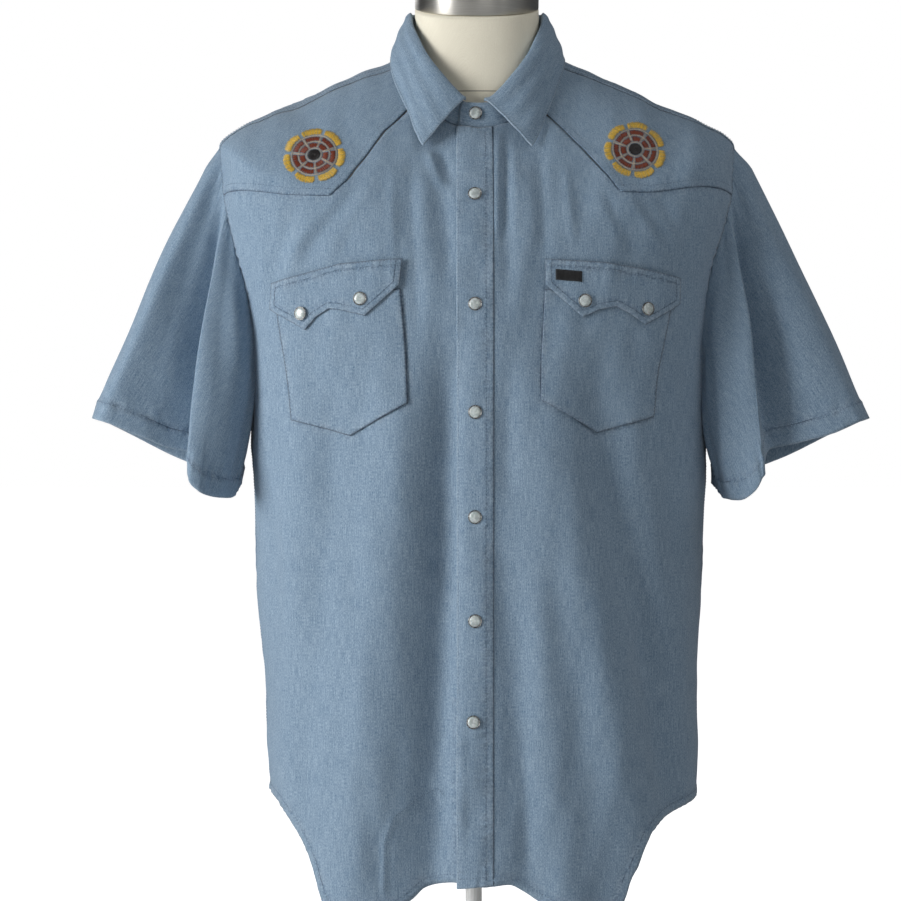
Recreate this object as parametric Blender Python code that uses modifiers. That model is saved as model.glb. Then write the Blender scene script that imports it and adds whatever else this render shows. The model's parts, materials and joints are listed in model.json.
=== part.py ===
"""Short-sleeved western snap shirt on a limbless dress form with post and base.

Metres, +Z up, front towards -Y, origin under the middle of the base.
The body cloth is one chart: ring t (its height below the underarm, its way over
the shoulder above it) and angle theta (0 front, +90 the wearer's left side, 180 back).
Every panel is a patch of that chart, and what lies on a panel uses the same points
moved out.
"""
import math

import bpy
import bmesh
import numpy as np
from mathutils import Matrix, Vector

for old in list(bpy.data.objects):
    bpy.data.objects.remove(old, do_unlink=True)

# ---------------------------------------------------------------- sizes
CLOTH = 0.0012          # wall of a panel
SEAM = 0.0006           # half the gap between two panels, in t
LIFT = 0.0010           # what lies on a panel stands this far off it
PLACKET_W = 0.0347      # width of the placket strip
PLACKET_L, PLACKET_R = -0.0171, 0.0176
PLACKET_BOTTOM = 0.1935
UNDERARM = 0.693
NECKLINE = 1.075
HEM_BOTTOM = 0.150
NECK_GAP = 0.0007        # the cloth ends this far under the collar stand, in t
SNAP_D = 0.0130
SNAP_H = 0.0026
NECK_R = 0.0605
NECK_TILT = math.radians(15.9)
FORM_BOTTOM = 0.255
POST_R = 0.008
BASE_R = 0.160
BASE_H = 0.014
SQUARE = 0.12           # how square a ring is

# ring: t, half_width, centre_x, side_y, side_z, front_y, front_z, back_y, back_z
BODY = np.array([
    (0.150, .2075, .0090, 0, .1500, -.1340, .150, .1180, .150),
    (0.270, .2075, .0090, 0, .2700, -.1360, .270, .1200, .270),
    (0.317, .2099, .0076, 0, .3170, -.1365, .317, .1200, .317),
    (0.375, .2104, .0071, 0, .3750, -.1370, .375, .1205, .375),
    (0.454, .2153, .0052, 0, .4540, -.1380, .454, .1210, .454),
    (0.552, .2197, .0057, 0, .5520, -.1400, .552, .1210, .552),
    (0.620, .2215, .0045, 0, .6200, -.1410, .620, .1215, .620),
    (0.693, .2226, .0037, 0, .6930, -.1415, .693, .1220, .693),
    (0.720, .2250, .0035, 0, .7200, -.1410, .715, .1225, .717),
    (0.760, .2305, .0030, 0, .7600, -.1395, .748, .1230, .752),
    (0.800, .2414, .0025, 0, .8000, -.1370, .775, .1220, .783),
    (0.830, .2480, .0025, 0, .8300, -.1340, .793, .1200, .806),
    (0.850, .2507, .0025, 0, .8500, -.1310, .803, .1180, .820),
    (0.890, .2510, .0025, 0, .8965, -.1250, .822, .1130, .848),
    (0.930, .2140, .0025, 0, .9225, -.1170, .845, .1060, .882),
    (0.980, .1700, .0027, 0, .9430, -.1050, .866, .0940, .915),
    (1.030, .1240, .0030, 0, .9635, -.0920, .887, .0820, .945),
    (1.075, .0740, .0030, 0, .9840, -.0780, .905, .0700, .968)])

# the dress form, before FORM_INSET is taken off along the normals
FORM = np.array([
    (0.255, .1600, .0040, 0, .2550, -.1080, .255, .1000, .255),
    (0.330, .1720, .0040, 0, .3300, -.1140, .330, .1080, .330),
    (0.430, .1700, .0040, 0, .4300, -.1120, .430, .1040, .430),
    (0.520, .1600, .0040, 0, .5200, -.1080, .520, .0940, .520),
    (0.600, .1680, .0040, 0, .6000, -.1170, .600, .1000, .600),
    (0.693, .1840, .0040, 0, .6930, -.1310, .693, .1120, .693),
    (0.760, .1960, .0035, 0, .7600, -.1345, .745, .1170, .750),
    (0.830, .2120, .0030, 0, .8300, -.1300, .788, .1150, .802),
    (0.880, .2210, .0025, 0, .8850, -.1235, .815, .1110, .840),
    (0.905, .2200, .0025, 0, .9120, -.1205, .830, .1085, .860),
    (0.930, .2090, .0025, 0, .9240, -.1165, .845, .1055, .882),
    (0.980, .1700, .0027, 0, .9422, -.1050, .866, .0940, .915),
    (1.030, .1235, .0030, 0, .9600, -.0920, .887, .0820, .945),
    (1.070, .0690, .0030, 0, .9765, -.0735, .906, .0670, .966)])
FORM_INSET = 0.0036

# fold: face (1 front, -1 back), then at each level its x, then its height, then half width low and high
FOLD_TOP = .735
LEVELS = np.array([.20, .42, .64])
FOLDS = [
    (1, (-.112, -.094, -.070), (.012, .013, .008), .034, .030),
    (1, (-.040, -.033, -.028), (-.013, -.014, -.010), .022, .014),
    (1, (-.172, -.150, -.128), (-.003, -.004, -.003), .016, .020),
    (1, (-.186, -.180, -.168), (.003, .004, .004), .014, .018),
    (1, (.048, .036, .026), (-.004, -.004, -.002), .018, .014),
    (1, (.084, .060, .044), (.005, .005, .003), .026, .020),
    (1, (.160, .116, .072), (.010, .011, .007), .028, .026),
    (1, (.204, .160, .116), (-.005, -.010, -.008), .020, .024),
    (1, (.214, .206, .192), (.001, .005, .005), .010, .014),
    (-1, (-.125, -.112, -.100), (.0065, .0065, .005), .028, .028),
    (-1, (-.050, -.045, -.037), (-.006, -.006, -.005), .022, .022),
    (-1, (.045, .050, .042), (.0055, .0055, .005), .026, .026),
    (-1, (.135, .118, .108), (-.006, -.006, -.005), .022, .022)]

# front hem: angle from the centre, height
HEM_R = np.array([(0, .1945), (7.0, .1980), (9.6, .1968), (14.2, .1921), (17.1, .1819), (21, .1735),
                  (28.3, .1685), (36, .1695), (41.5, .1750), (45.5, .1960), (48.8, .2137), (55, .2364),
                  (62.5, .2560), (73, .2665), (90, .2700)])
HEM_L = np.array([(0, .1945), (5.5, .1965), (9.0, .1900), (12.5, .1810), (17, .1730), (24, .1685),
                  (32.5, .1710), (35.2, .1800), (36.8, .1980), (38.6, .2090), (41, .2268), (44.5, .2431),
                  (53, .2544), (68, .2630), (90, .2670)])
# back hem: angle from the back's middle, height
HEM_B = np.array([(0, .1690), (15, .1690), (27, .1710), (37, .1790), (45, .1980), (53, .2260),
                  (62, .2480), (74, .2630), (90, .2690)])

# armhole: part of the way round from the shoulder tip, angle, t
ARMHOLE = np.array([(0, 90, .893), (.05, 83, .886), (.10, 79, .868), (.15, 76, .850), (.22, 73, .818),
                    (.29, 72, .785), (.36, 73, .750), (.43, 79, .716), (.50, 90, .693), (.57, 101, .716),
                    (.64, 107, .750), (.71, 108, .785), (.78, 107, .818), (.85, 104, .850), (.90, 101, .868),
                    (.95, 97, .886), (1, 90, .893)])
# yoke seam across each front, from the neckline to the armhole: x, z
YOKE_R = [(-.0651, .9235), (-.0857, .9019), (-.1042, .8756), (-.1198, .8538), (-.1356, .8384),
          (-.1560, .8392), (-.1766, .8404), (-.2100, .8455)]
YOKE_L = [(.0701, .9193), (.0870, .9020), (.1043, .8837), (.1202, .8630), (.1361, .8422),
          (.1530, .8424), (.1695, .8429), (.2008, .8480)]
YOKE_POINT = 4          # row of the yoke's point
SHOULDER_SEAM = [(70, 1.075), (71, 1.0627), (73.5, 1.027), (74.5, .9867), (76, .9338), (78.5, .9114)]
BACK_YOKE = [(104, .850), (120, .846), (150, .838), (180, .832)]
ARM_SEAM, ARM_YOKE, ARM_PATCH, ARM_BACK = .05, .15, .36, .85

# sleeve hem, viewer's left: part of the way round, x, y, z, bulge out in x and y
HEM_SLEEVE_R = np.array([
    (0, -.3700, .000, .6320, -.008, 0), (.035, -.3650, -.044, .6300, -.008, 0),
    (.065, -.3530, -.064, .6270, -.002, 0), (.10, -.3200, -.069, .6140, 0, .004),
    (.135, -.2905, -.066, .6020, 0, .008), (.150, -.2760, -.064, .5980, .000, .010),
    (.186, -.2700, -.089, .5740, -.007, -.006), (.225, -.2610, -.092, .5620, .000, -.010),
    (.295, -.2480, -.074, .5560, .006, -.006), (.37, -.2350, -.050, .5550, .007, -.002),
    (.45, -.2280, -.022, .5650, .003, 0), (.54, -.2275, .012, .5680, .000, 0),
    (.61, -.2360, .042, .5680, 0, .003), (.70, -.2650, .062, .5800, 0, .006),
    (.78, -.3000, .066, .5940, 0, .006), (.86, -.3355, .060, .6125, 0, .004),
    (.95, -.3660, .036, .6290, -.006, .002), (1, -.3700, .000, .6320, -.008, 0)])
HEM_SLEEVE_L = np.array([
    (0, .3880, .000, .6320, .008, 0), (.035, .3830, -.040, .6310, .008, 0),
    (.065, .3700, -.060, .6280, .002, 0), (.10, .3430, -.066, .6166, 0, .004),
    (.13, .3080, -.062, .6070, 0, .008), (.150, .2860, -.058, .6010, -.003, .012),
    (.186, .2725, -.089, .5760, .005, -.006), (.225, .2650, -.090, .5610, .000, -.010),
    (.295, .2540, -.072, .5530, -.005, -.006), (.37, .2400, -.050, .5540, -.006, -.002),
    (.45, .2340, -.022, .5640, -.003, 0), (.54, .2350, .012, .5680, .000, 0),
    (.61, .2470, .042, .5680, 0, .003), (.70, .2760, .062, .5800, 0, .006),
    (.78, .3130, .066, .5940, 0, .006), (.86, .3500, .060, .6125, 0, .004),
    (.95, .3840, .036, .6290, .006, .002), (1, .3880, .000, .6320, .008, 0)])

# collar: ring as in BODY with the power k of its dip to the front
STAND_TOP = np.array([0, .0665, .0030, 0, 1.0180, -.0785, .9310, .0650, 1.0360])
# height of the stand's top round the front: angle, height, then how high the leaf rolls over it
STAND_FRONT = np.array([(0, .9300, .0040), (8, .9308, .0045), (18, .9385, .0072), (27, .9485, .0092),
                        (46, .9712, .0105), (58, .9875, .0105), (75, 1.0045, .0105), (90, 1.0180, .0105)])
# collar leaf edge: collar angle, body angle, body t, lift
LEAF_EDGE = np.array([(0, 18.9, 1.0095, .0045), (20, 26.2, 1.0320, .0034), (40, 38.0, 1.0515, .0030),
                      (62, 55, 1.0600, .0028), (90, 88, 1.0655, .0028), (135, 134, 1.0630, .0028),
                      (180, 180, 1.0610, .0028)])

# pocket bag and flap corners, x and z
POCKET_R = dict(top=[(-.1845, .7420), (-.0690, .7500)], left=[(-.1845, .7420), (-.1846, .7298), (-.1729, .6494), (-.1709, .6287)],
                right=[(-.0690, .7500), (-.0640, .6950), (-.0612, .6440)], bottom=[(-.1709, .6287), (-.1163, .6135), (-.0612, .6440)])
POCKET_L = dict(top=[(.0649, .7500), (.1850, .7400)], left=[(.0649, .7500), (.0611, .6876), (.0602, .6468)],
                right=[(.1850, .7400), (.1840, .7314), (.1722, .6756), (.1673, .6314)], bottom=[(.0602, .6468), (.1154, .6163), (.1673, .6314)])
FLAP_R = dict(top=[(-.1904, .7583), (-.1560, .7665), (-.1257, .7739), (-.0668, .7778)],
              bottom=[(-.1906, .7339), (-.1572, .7129), (-.1476, .7249), (-.1352, .7321), (-.1257, .7310), (-.1012, .7250), (-.0696, .7536)],
              cols=[3, 1, 1, 1, 2, 3])
FLAP_L = dict(top=[(.0650, .7778), (.1202, .7746), (.1560, .7700), (.1929, .7628)],
              bottom=[(.0649, .7535), (.0994, .7231), (.1154, .7307), (.1306, .7337), (.1430, .7274), (.1574, .7174), (.1931, .7384)],
              cols=[3, 2, 1, 1, 1, 3])
LABEL = [(.0743, .7680), (.0985, .7660), (.0985, .7560), (.0743, .7580)]

# snaps: node, x, z
PLACKET_SNAPS = [(.0000, .8385), (.0000, .7356), (.0000, .6356), (.0000, .5384), (.0000, .4420), (-.0015, .3483)]
FLAP_SNAPS = [("snap_flap_right_1", -.1610, .7285), ("snap_flap_right_2", -.1055, .7409),
              ("snap_flap_left_1", .1013, .7389), ("snap_flap_left_2", .1594, .7325)]


# ---------------------------------------------------------------- collections and materials
def collection(name):
    coll = bpy.data.collections.get(name) or bpy.data.collections.new(name)
    if coll.name not in bpy.context.scene.collection.children:
        bpy.context.scene.collection.children.link(coll)
    return coll


PARTS = collection("western_snap_shirt")


def material(name, colour, roughness, metallic=0.0):
    mat = bpy.data.materials.new(name)
    mat.use_nodes = True
    bsdf = mat.node_tree.nodes["Principled BSDF"]
    bsdf.inputs["Base Color"].default_value = (*colour, 1)
    bsdf.inputs["Roughness"].default_value = roughness
    bsdf.inputs["Metallic"].default_value = metallic
    return mat


CHAMBRAY = (0.21, 0.33, 0.46)
LINEN = (0.70, 0.64, 0.50)


# ---------------------------------------------------------------- the chart
def monotone(xs, ys, x):
    """A smooth curve through a table's column that never overshoots."""
    h = np.diff(xs)
    d = np.diff(ys) / h
    m = np.zeros_like(ys)
    m[0], m[-1] = d[0], d[-1]
    for i in range(1, len(xs) - 1):
        if d[i - 1] * d[i] > 0:
            w1, w2 = 2 * h[i] + h[i - 1], h[i] + 2 * h[i - 1]
            m[i] = (w1 + w2) / (w1 / d[i - 1] + w2 / d[i])
    x = np.clip(x, xs[0], xs[-1])
    i = np.clip(np.searchsorted(xs, x, side="right") - 1, 0, len(h) - 1)
    s = (x - xs[i]) / h[i]
    return ((1 + 2 * s) * (1 - s) ** 2 * ys[i] + s * (1 - s) ** 2 * h[i] * m[i]
            + s * s * (3 - 2 * s) * ys[i + 1] + s * s * (s - 1) * h[i] * m[i + 1])


def ring_point(row, theta, power=2.0):
    """Point on a ring whose columns are those of BODY."""
    half, cx, sy, sz, fy, fz, by, bz = row
    s, c = np.sin(theta), np.cos(theta)
    wide = s * (1 + SQUARE * c * c)
    deep = np.abs(c * (1 + SQUARE * s * s))
    ey, ez = np.where(c >= 0, fy, by), np.where(c >= 0, fz, bz)
    return np.stack([cx + half * wide, sy + (ey - sy) * deep, ez + (sz - ez) * (1 - deep ** power)], -1)


def chart(table, theta, t):
    row = [monotone(table[:, 0], table[:, n], t) for n in range(1, 9)]
    return ring_point(row, theta)


def normal(table, theta, t):
    t = np.clip(t, table[0, 0] + .0011, table[-1, 0] - .0011)
    du = chart(table, theta + .002, t) - chart(table, theta - .002, t)
    dv = chart(table, theta, t + .001) - chart(table, theta, t - .001)
    n = np.cross(du, dv)
    return n / np.linalg.norm(n, axis=-1, keepdims=True)


def fold_height(x, z, face):
    total = np.zeros_like(x)
    ends = np.clip((FOLD_TOP - z) / .14, 0, 1)
    ends = ends * ends * (3 - 2 * ends)
    for side, xs, heights, low, high in FOLDS:
        line = monotone(LEVELS, np.array(xs), z)
        height = monotone(LEVELS, np.array(heights), z) * ends
        half = low + (high - low) * np.clip((z - .20) / .44, 0, 1)
        wide = np.maximum(half, .026)
        total += np.where(face == side, height * half / wide * np.exp(-((x - line) / wide) ** 2), 0)
    edge = np.clip((.205 - np.abs(x - .006)) / .05, 0, 1)
    return total * edge * edge * (3 - 2 * edge)


def cloth(theta, t, out=0.0):
    """Point of the body cloth's outer face, moved out."""
    theta, t = np.broadcast_arrays(np.asarray(theta, float), np.asarray(t, float))
    p, n = chart(BODY, theta, t), normal(BODY, theta, t)
    h = fold_height(p[..., 0], p[..., 2], np.where(np.cos(theta) >= 0, 1, -1))
    return p + n * (h + out)[..., None]


def angle_of(wide):
    lo, hi = 0.0, math.pi / 2
    for _ in range(40):
        mid = (lo + hi) / 2
        if math.sin(mid) * (1 + SQUARE * math.cos(mid) ** 2) < abs(wide):
            lo = mid
        else:
            hi = mid
    return math.copysign(lo, wide)


def place(x, z):
    """Chart point of the front cloth that lies at this x and z."""
    lo, hi = HEM_BOTTOM, NECKLINE
    for _ in range(40):
        t = (lo + hi) / 2
        half, cx = (float(monotone(BODY[:, 0], BODY[:, n], t)) for n in (1, 2))
        wide = (x - cx) / half
        if abs(wide) >= 1 and t > .75:
            hi = t
            continue
        theta = angle_of(max(-1, min(1, wide)))
        if chart(BODY, theta, t)[2] < z:
            lo = t
        else:
            hi = t
    return theta, t


# ---------------------------------------------------------------- sheets
def along(points, count):
    """Equal steps along a polyline."""
    points = np.array(points, float)
    run = np.r_[0, np.cumsum(np.linalg.norm(np.diff(points, axis=0), axis=1))]
    s = np.linspace(0, run[-1], count + 1)
    return np.stack([np.interp(s, run, points[:, k]) for k in range(points.shape[1])], -1)


def coons(bottom, top, left, right, share=None):
    """Grid of points inside four edges given as lists of points; share spaces the rows."""
    nu, nv = len(bottom), len(left)
    share = np.linspace(0, 1, nv) if share is None else share
    u, v = np.linspace(0, 1, nu)[:, None, None], share[None, :, None]
    b, t, l, r = bottom[:, None], top[:, None], left[None], right[None]
    return ((1 - v) * b + v * t + (1 - u) * l + u * r
            - ((1 - u) * (1 - v) * bottom[0] + u * (1 - v) * bottom[-1] + (1 - u) * v * top[0] + u * v * top[-1]))


def grid_object(name, grids, mat, outward, thickness=CLOTH):
    """A sheet through one or more grids of points, made a wall of the given thickness to its inner side."""
    mesh = bpy.data.meshes.new(name)
    bm = bmesh.new()
    for points in grids if isinstance(grids, list) else [grids]:
        nu, nv = points.shape[0] - 1, points.shape[1] - 1
        made = bmesh.ops.create_grid(bm, x_segments=nu, y_segments=nv, size=1)["verts"]
        for vert in made:
            i = round((vert.co.x + 1) / 2 * nu)
            j = round((vert.co.y + 1) / 2 * nv)
            vert.co = Vector(points[i, j])
    bmesh.ops.remove_doubles(bm, verts=bm.verts, dist=1e-5)
    facing = 0
    for face in bm.faces:
        face.normal_update()
        facing += face.normal.dot(outward(face.calc_center_median())) * face.calc_area()
    if facing < 0:
        bmesh.ops.reverse_faces(bm, faces=bm.faces)
    for face in bm.faces:
        face.smooth = True
    bm.to_mesh(mesh)
    bm.free()
    obj = bpy.data.objects.new(name, mesh)
    PARTS.objects.link(obj)
    mesh.materials.append(mat)
    wall = obj.modifiers.new("wall", "SOLIDIFY")
    wall.thickness, wall.offset = thickness, -1
    wall.use_quality_normals = True
    return obj


def from_axis(p):
    return Vector((p.x, p.y, .35 * max(p.z - .80, 0)))


def body_sheet(name, chart_grids, colour, out=0.0, thickness=CLOTH):
    grids = [cloth(g[..., 0], g[..., 1], out) for g in chart_grids]
    return grid_object(name, grids, material(name, colour, .85), from_axis, thickness)


rad = np.radians


def armhole(side, s):
    theta = monotone(ARMHOLE[:, 0], ARMHOLE[:, 1], s)
    t = monotone(ARMHOLE[:, 0], ARMHOLE[:, 2], s)
    return np.stack([side * rad(theta), t], -1)


def yoke_seam(side):
    rows = YOKE_R if side < 0 else YOKE_L
    pts = [place(x, z) for x, z in rows]
    start = (side * rad(44.0), NECKLINE)
    return np.array([start] + pts + [tuple(armhole(side, ARM_YOKE))])


# ---------------------------------------------------------------- fronts, yokes, back
NECK_COLS, DIAGONAL_COLS, LEVEL_COLS, SIDE_COLS = 4, 4, 4, 4
LOW_ROWS, HIGH_ROWS = 12, 6
S_FRONT = np.linspace(ARM_PATCH, ARM_YOKE, HIGH_ROWS + 1)
S_UNDER = np.linspace(ARM_PATCH, .5, SIDE_COLS + 1)
S_YOKE = np.linspace(ARM_YOKE, ARM_SEAM, 6)
S_OVER = np.array([ARM_BACK - 1, -.12, -.09, -.06, -.03, 0, .017, .034, ARM_SEAM])


def half_width(t):
    return monotone(BODY[:, 0], BODY[:, 1], t)


def flat(points, middle=0.0):
    """Chart points with the angle turned into a distance from the middle."""
    points = np.asarray(points, float)
    return np.stack([(points[..., 0] - middle) * half_width(points[..., 1]), points[..., 1]], -1)


def bent(points, middle=0.0):
    return np.stack([points[..., 0] / half_width(points[..., 1]) + middle, points[..., 1]], -1)


def column(start, end, count):
    """Straight run between two flat points."""
    return np.linspace(start, end, count + 1)


def front_panel(name, side):
    seam = yoke_seam(side) - np.array([side * rad(.16), SEAM])
    seam[-1] = armhole(side, ARM_YOKE)
    centre = PLACKET_R - .0080 + side * .0003
    hem = HEM_R if side < 0 else HEM_L

    def centre_angle(t):
        return np.array([angle_of((centre - monotone(BODY[:, 0], BODY[:, 2], k)) / half_width(k)) for k in t])

    neck = along([(centre_angle([NECKLINE])[0], NECKLINE), (seam[0][0] - side * rad(.3), NECKLINE)], NECK_COLS)
    neck[:, 1] -= NECK_GAP + .0004
    diagonal = along(flat(seam[0:YOKE_POINT + 2]), DIAGONAL_COLS)
    level = along(flat(seam[YOKE_POINT + 1:]), LEVEL_COLS)
    top = np.vstack([flat(neck), diagonal[1:], level[1:]])
    low_z = float(monotone(hem[:, 0], hem[:, 1], 3.0))
    start = centre_angle([low_z])[0]
    inner = len(top)
    angles = np.linspace(start, side * rad(89.94), inner + SIDE_COLS)
    bottom = flat(np.stack([angles, monotone(hem[:, 0], hem[:, 1], np.degrees(np.abs(angles)))], -1))
    mid_t = .76
    t_left = np.r_[np.linspace(bottom[0, 1], mid_t, LOW_ROWS + 1), np.linspace(mid_t, top[0, 1], HIGH_ROWS + 1)[1:]]
    left = flat(np.stack([centre_angle(t_left), t_left], -1))
    corner = armhole(side, ARM_PATCH)
    rise = column(bottom[inner - 1], flat(corner), LOW_ROWS)
    right = np.vstack([rise, flat(armhole(side, S_FRONT))[1:]])
    right[-1] = top[-1]
    main = coons(bottom[:inner], top, left, right)
    under = armhole(side, S_UNDER)
    under[-1, 0] = side * rad(89.94)
    under = flat(under)
    t_side = np.linspace(bottom[-1, 1], under[-1, 1], LOW_ROWS + 1)
    outer = flat(np.stack([np.full(LOW_ROWS + 1, side * rad(89.94)), t_side], -1))
    gusset = coons(bottom[inner - 1:], under, rise, outer)
    return body_sheet(name, [bent(main), bent(gusset)], CHAMBRAY)


def shoulder_seam(side):
    rows = [(side * rad(th), t) for th, t in SHOULDER_SEAM] + [tuple(armhole(side, ARM_SEAM))]
    rows[0] = (rows[0][0], NECKLINE - NECK_GAP)
    return bent(along(flat(rows), DIAGONAL_COLS + LEVEL_COLS))


def front_yoke(name, side):
    seam = yoke_seam(side) + np.array([side * rad(.16), SEAM])
    seam[0] += (side * rad(.4), -SEAM - NECK_GAP)
    edge = armhole(side, S_YOKE)
    edge[0] += (0, 2 * SEAM)
    seam[-1] = edge[0]
    bottom = np.vstack([along(flat(seam[0:YOKE_POINT + 2]), DIAGONAL_COLS), along(flat(seam[YOKE_POINT + 1:]), LEVEL_COLS)[1:]])
    top = flat(shoulder_seam(side) - np.array([side * rad(.3), 0]))
    right = flat(edge)
    right[0], right[-1] = bottom[-1], top[-1]
    left = column(bottom[0], top[0], 5)
    return body_sheet(name, [bent(coons(bottom, top, left, right))], CHAMBRAY)


def back_pieces():
    mid = math.pi

    def mirror(points):
        return points[::-1] * np.array([-1, 1])

    # back panel
    high = armhole(1, 1 - S_FRONT)
    line = along(flat([tuple(high[-1])] + [(rad(th), t) for th, t in BACK_YOKE[1:]], mid), 7)
    line[1:, 1] -= SEAM
    top = np.vstack([line, mirror(line)[1:]])
    under = armhole(1, 1 - S_UNDER)
    under[-1, 0] = rad(90.06)
    under = flat(under, mid)[::-1]
    cols = len(top)
    angles = np.linspace(rad(90.06), rad(269.94), cols + 2 * SIDE_COLS)
    hem = monotone(HEM_B[:, 0], HEM_B[:, 1], np.abs(180 - np.degrees(angles)))
    bottom = flat(np.stack([angles, hem], -1), mid)
    rise = column(bottom[SIDE_COLS], under[-1], LOW_ROWS)
    left = np.vstack([rise, flat(high, mid)[1:]])
    right = left * np.array([-1, 1])
    main = coons(bottom[SIDE_COLS:-SIDE_COLS], top, left, right)
    t_side = np.linspace(bottom[0, 1], under[0, 1], LOW_ROWS + 1)
    outer = flat(np.stack([np.full(LOW_ROWS + 1, rad(90.06)), t_side], -1), mid)
    gusset = coons(bottom[:SIDE_COLS + 1], under, outer, rise)
    other = gusset[::-1] * np.array([-1, 1])
    body_sheet("back", [bent(main, mid), bent(gusset, mid), bent(other, mid)], CHAMBRAY)

    # back yoke, over the shoulders to the front
    edge = armhole(1, np.where(S_OVER < 0, S_OVER + 1, S_OVER))
    edge[0, 1] += 2 * SEAM
    edge[-1, 0] += rad(.3)
    low = along(flat([tuple(edge[0])] + [(rad(th), t) for th, t in BACK_YOKE[1:]], mid), 11)
    low[1:, 1] += SEAM
    shoulder = flat(shoulder_seam(1)[::-1] + np.array([rad(.3), 0]), mid)
    neck = along([tuple(shoulder[-1]), (0, NECKLINE - NECK_GAP)], 3)
    upper = np.vstack([shoulder, neck[1:]])
    left = flat(edge, mid)
    left[-1] = upper[0]
    grid = coons(np.vstack([low, mirror(low)[1:]]), np.vstack([upper, mirror(upper)[1:]]), left, left * np.array([-1, 1]),
                 np.array([0, .20, .38, .54, .67, .78, .87, .94, 1]))
    body_sheet("back_yoke", [bent(grid, mid)], CHAMBRAY)


front_panel("front_right", -1)
front_panel("front_left", 1)
front_yoke("front_yoke_right", -1)
front_yoke("front_yoke_left", 1)
back_pieces()


# ---------------------------------------------------------------- sleeves
def sleeve(name, side, table):
    down = 9
    s = np.r_[S_OVER[5:], S_YOKE, S_FRONT, S_UNDER, 1 - S_UNDER, 1 - S_FRONT, S_OVER[1:6] + 1]
    s = np.unique(np.round(s, 6))
    top = cloth(*np.moveaxis(armhole(side, s), -1, 0)) + np.array([side * .0010, 0, 0])
    hem = np.stack([monotone(table[:, 0], table[:, n], s) for n in (1, 2, 3)], -1)
    bulge = np.stack([monotone(table[:, 0], table[:, 4], s), monotone(table[:, 0], table[:, 5], s), 0 * s], -1)
    v = np.linspace(0, 1, down + 1)[None, :, None]
    grid = top[:, None] * (1 - v) + hem[:, None] * v + bulge[:, None] * 4 * v * (1 - v)
    mid = grid.mean(axis=0)

    def outward(p):
        k = int(np.argmin(np.linalg.norm(mid - np.array(p), axis=1)))
        return p - Vector(mid[k])

    return grid_object(name, grid, material(name, CHAMBRAY, .85), outward)


sleeve("sleeve_right", -1, HEM_SLEEVE_R)
sleeve("sleeve_left", 1, HEM_SLEEVE_L)


# ---------------------------------------------------------------- collar
def neck_axis(p):
    return Vector((p.x - .003, p.y, 0))


def stand_top(a):
    points = ring_point(STAND_TOP[1:], a, 2.3)
    turn = np.abs((np.degrees(a) + 180) % 360 - 180)
    level = monotone(STAND_FRONT[:, 0], STAND_FRONT[:, 1], turn)
    points[..., 2] = np.where(turn < 90, level, points[..., 2])
    return points, monotone(STAND_FRONT[:, 0], STAND_FRONT[:, 2], turn)


def collar_stand():
    around = 36
    a = np.radians(np.linspace(-13.2, 346.0, around + 1))
    low = ring_point([BODY[-1, n] for n in range(1, 9)], a) + np.array([0, 0, .0008])
    high = stand_top(a)[0]
    v = np.linspace(0, 1, 3)[None, :, None]
    rise = np.ones(around + 1)
    rise[0], rise[-1] = .80, .80
    grid = low[:, None] + (high - low)[:, None] * v * rise[:, None, None]
    return grid_object("collar_stand", grid, material("collar_stand", CHAMBRAY, .85), neck_axis)


def collar_leaf():
    around = 34
    a = np.linspace(-9.0, -355.0, around + 1)
    ar = np.radians(a)
    inner, roll = stand_top(ar)
    roll = roll[:, None] / .0105
    out = np.stack([np.sin(ar), -np.cos(ar), 0 * ar], -1)
    # edge of the leaf on the body
    turn = np.minimum(np.abs(a + 9), np.abs(a + 355)) * 180 / 173
    th = np.radians(monotone(LEAF_EDGE[:, 0], LEAF_EDGE[:, 1], turn))
    th = np.where(a > -182, -th, th)
    edge_t = monotone(LEAF_EDGE[:, 0], LEAF_EDGE[:, 2], turn)
    lift = monotone(LEAF_EDGE[:, 0], LEAF_EDGE[:, 3], turn)
    edge = chart(BODY, th, edge_t) + normal(BODY, th, edge_t) * lift[:, None]
    up = np.array([0, 0, 1])
    seam = inner + up * .0011
    roll_in = inner + up * .0075 * roll - out * .0006
    roll_top = inner + up * .0105 * roll + out * .0014
    roll_out = inner + up * .0080 * roll + out * .0042
    rows = [seam, roll_in, roll_top, roll_out]
    for v in (.25, .5, .75, 1.0):
        rows.append(roll_out * (1 - v) + edge * v + (out * .0015 + up * .0006) * 4 * v * (1 - v))
    grid = np.stack(rows, 1)
    return grid_object("collar", grid, material("collar", CHAMBRAY, .85), neck_axis)


collar_stand()
collar_leaf()


# ---------------------------------------------------------------- placket, pockets, flaps, label
def patch(name, bottom, top, left, right, colour, out, thickness=CLOTH, metallic=0):
    """Patch given by x and z edges, laid on the front."""
    grid = coons(np.array(bottom), np.array(top), np.array(left), np.array(right))
    th = np.zeros(grid.shape)
    for i in range(grid.shape[0]):
        for j in range(grid.shape[1]):
            th[i, j] = place(*grid[i, j])
    pts = cloth(th[..., 0], th[..., 1], out)
    return grid_object(name, pts, material(name, colour, .85), from_axis, thickness)


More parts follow.
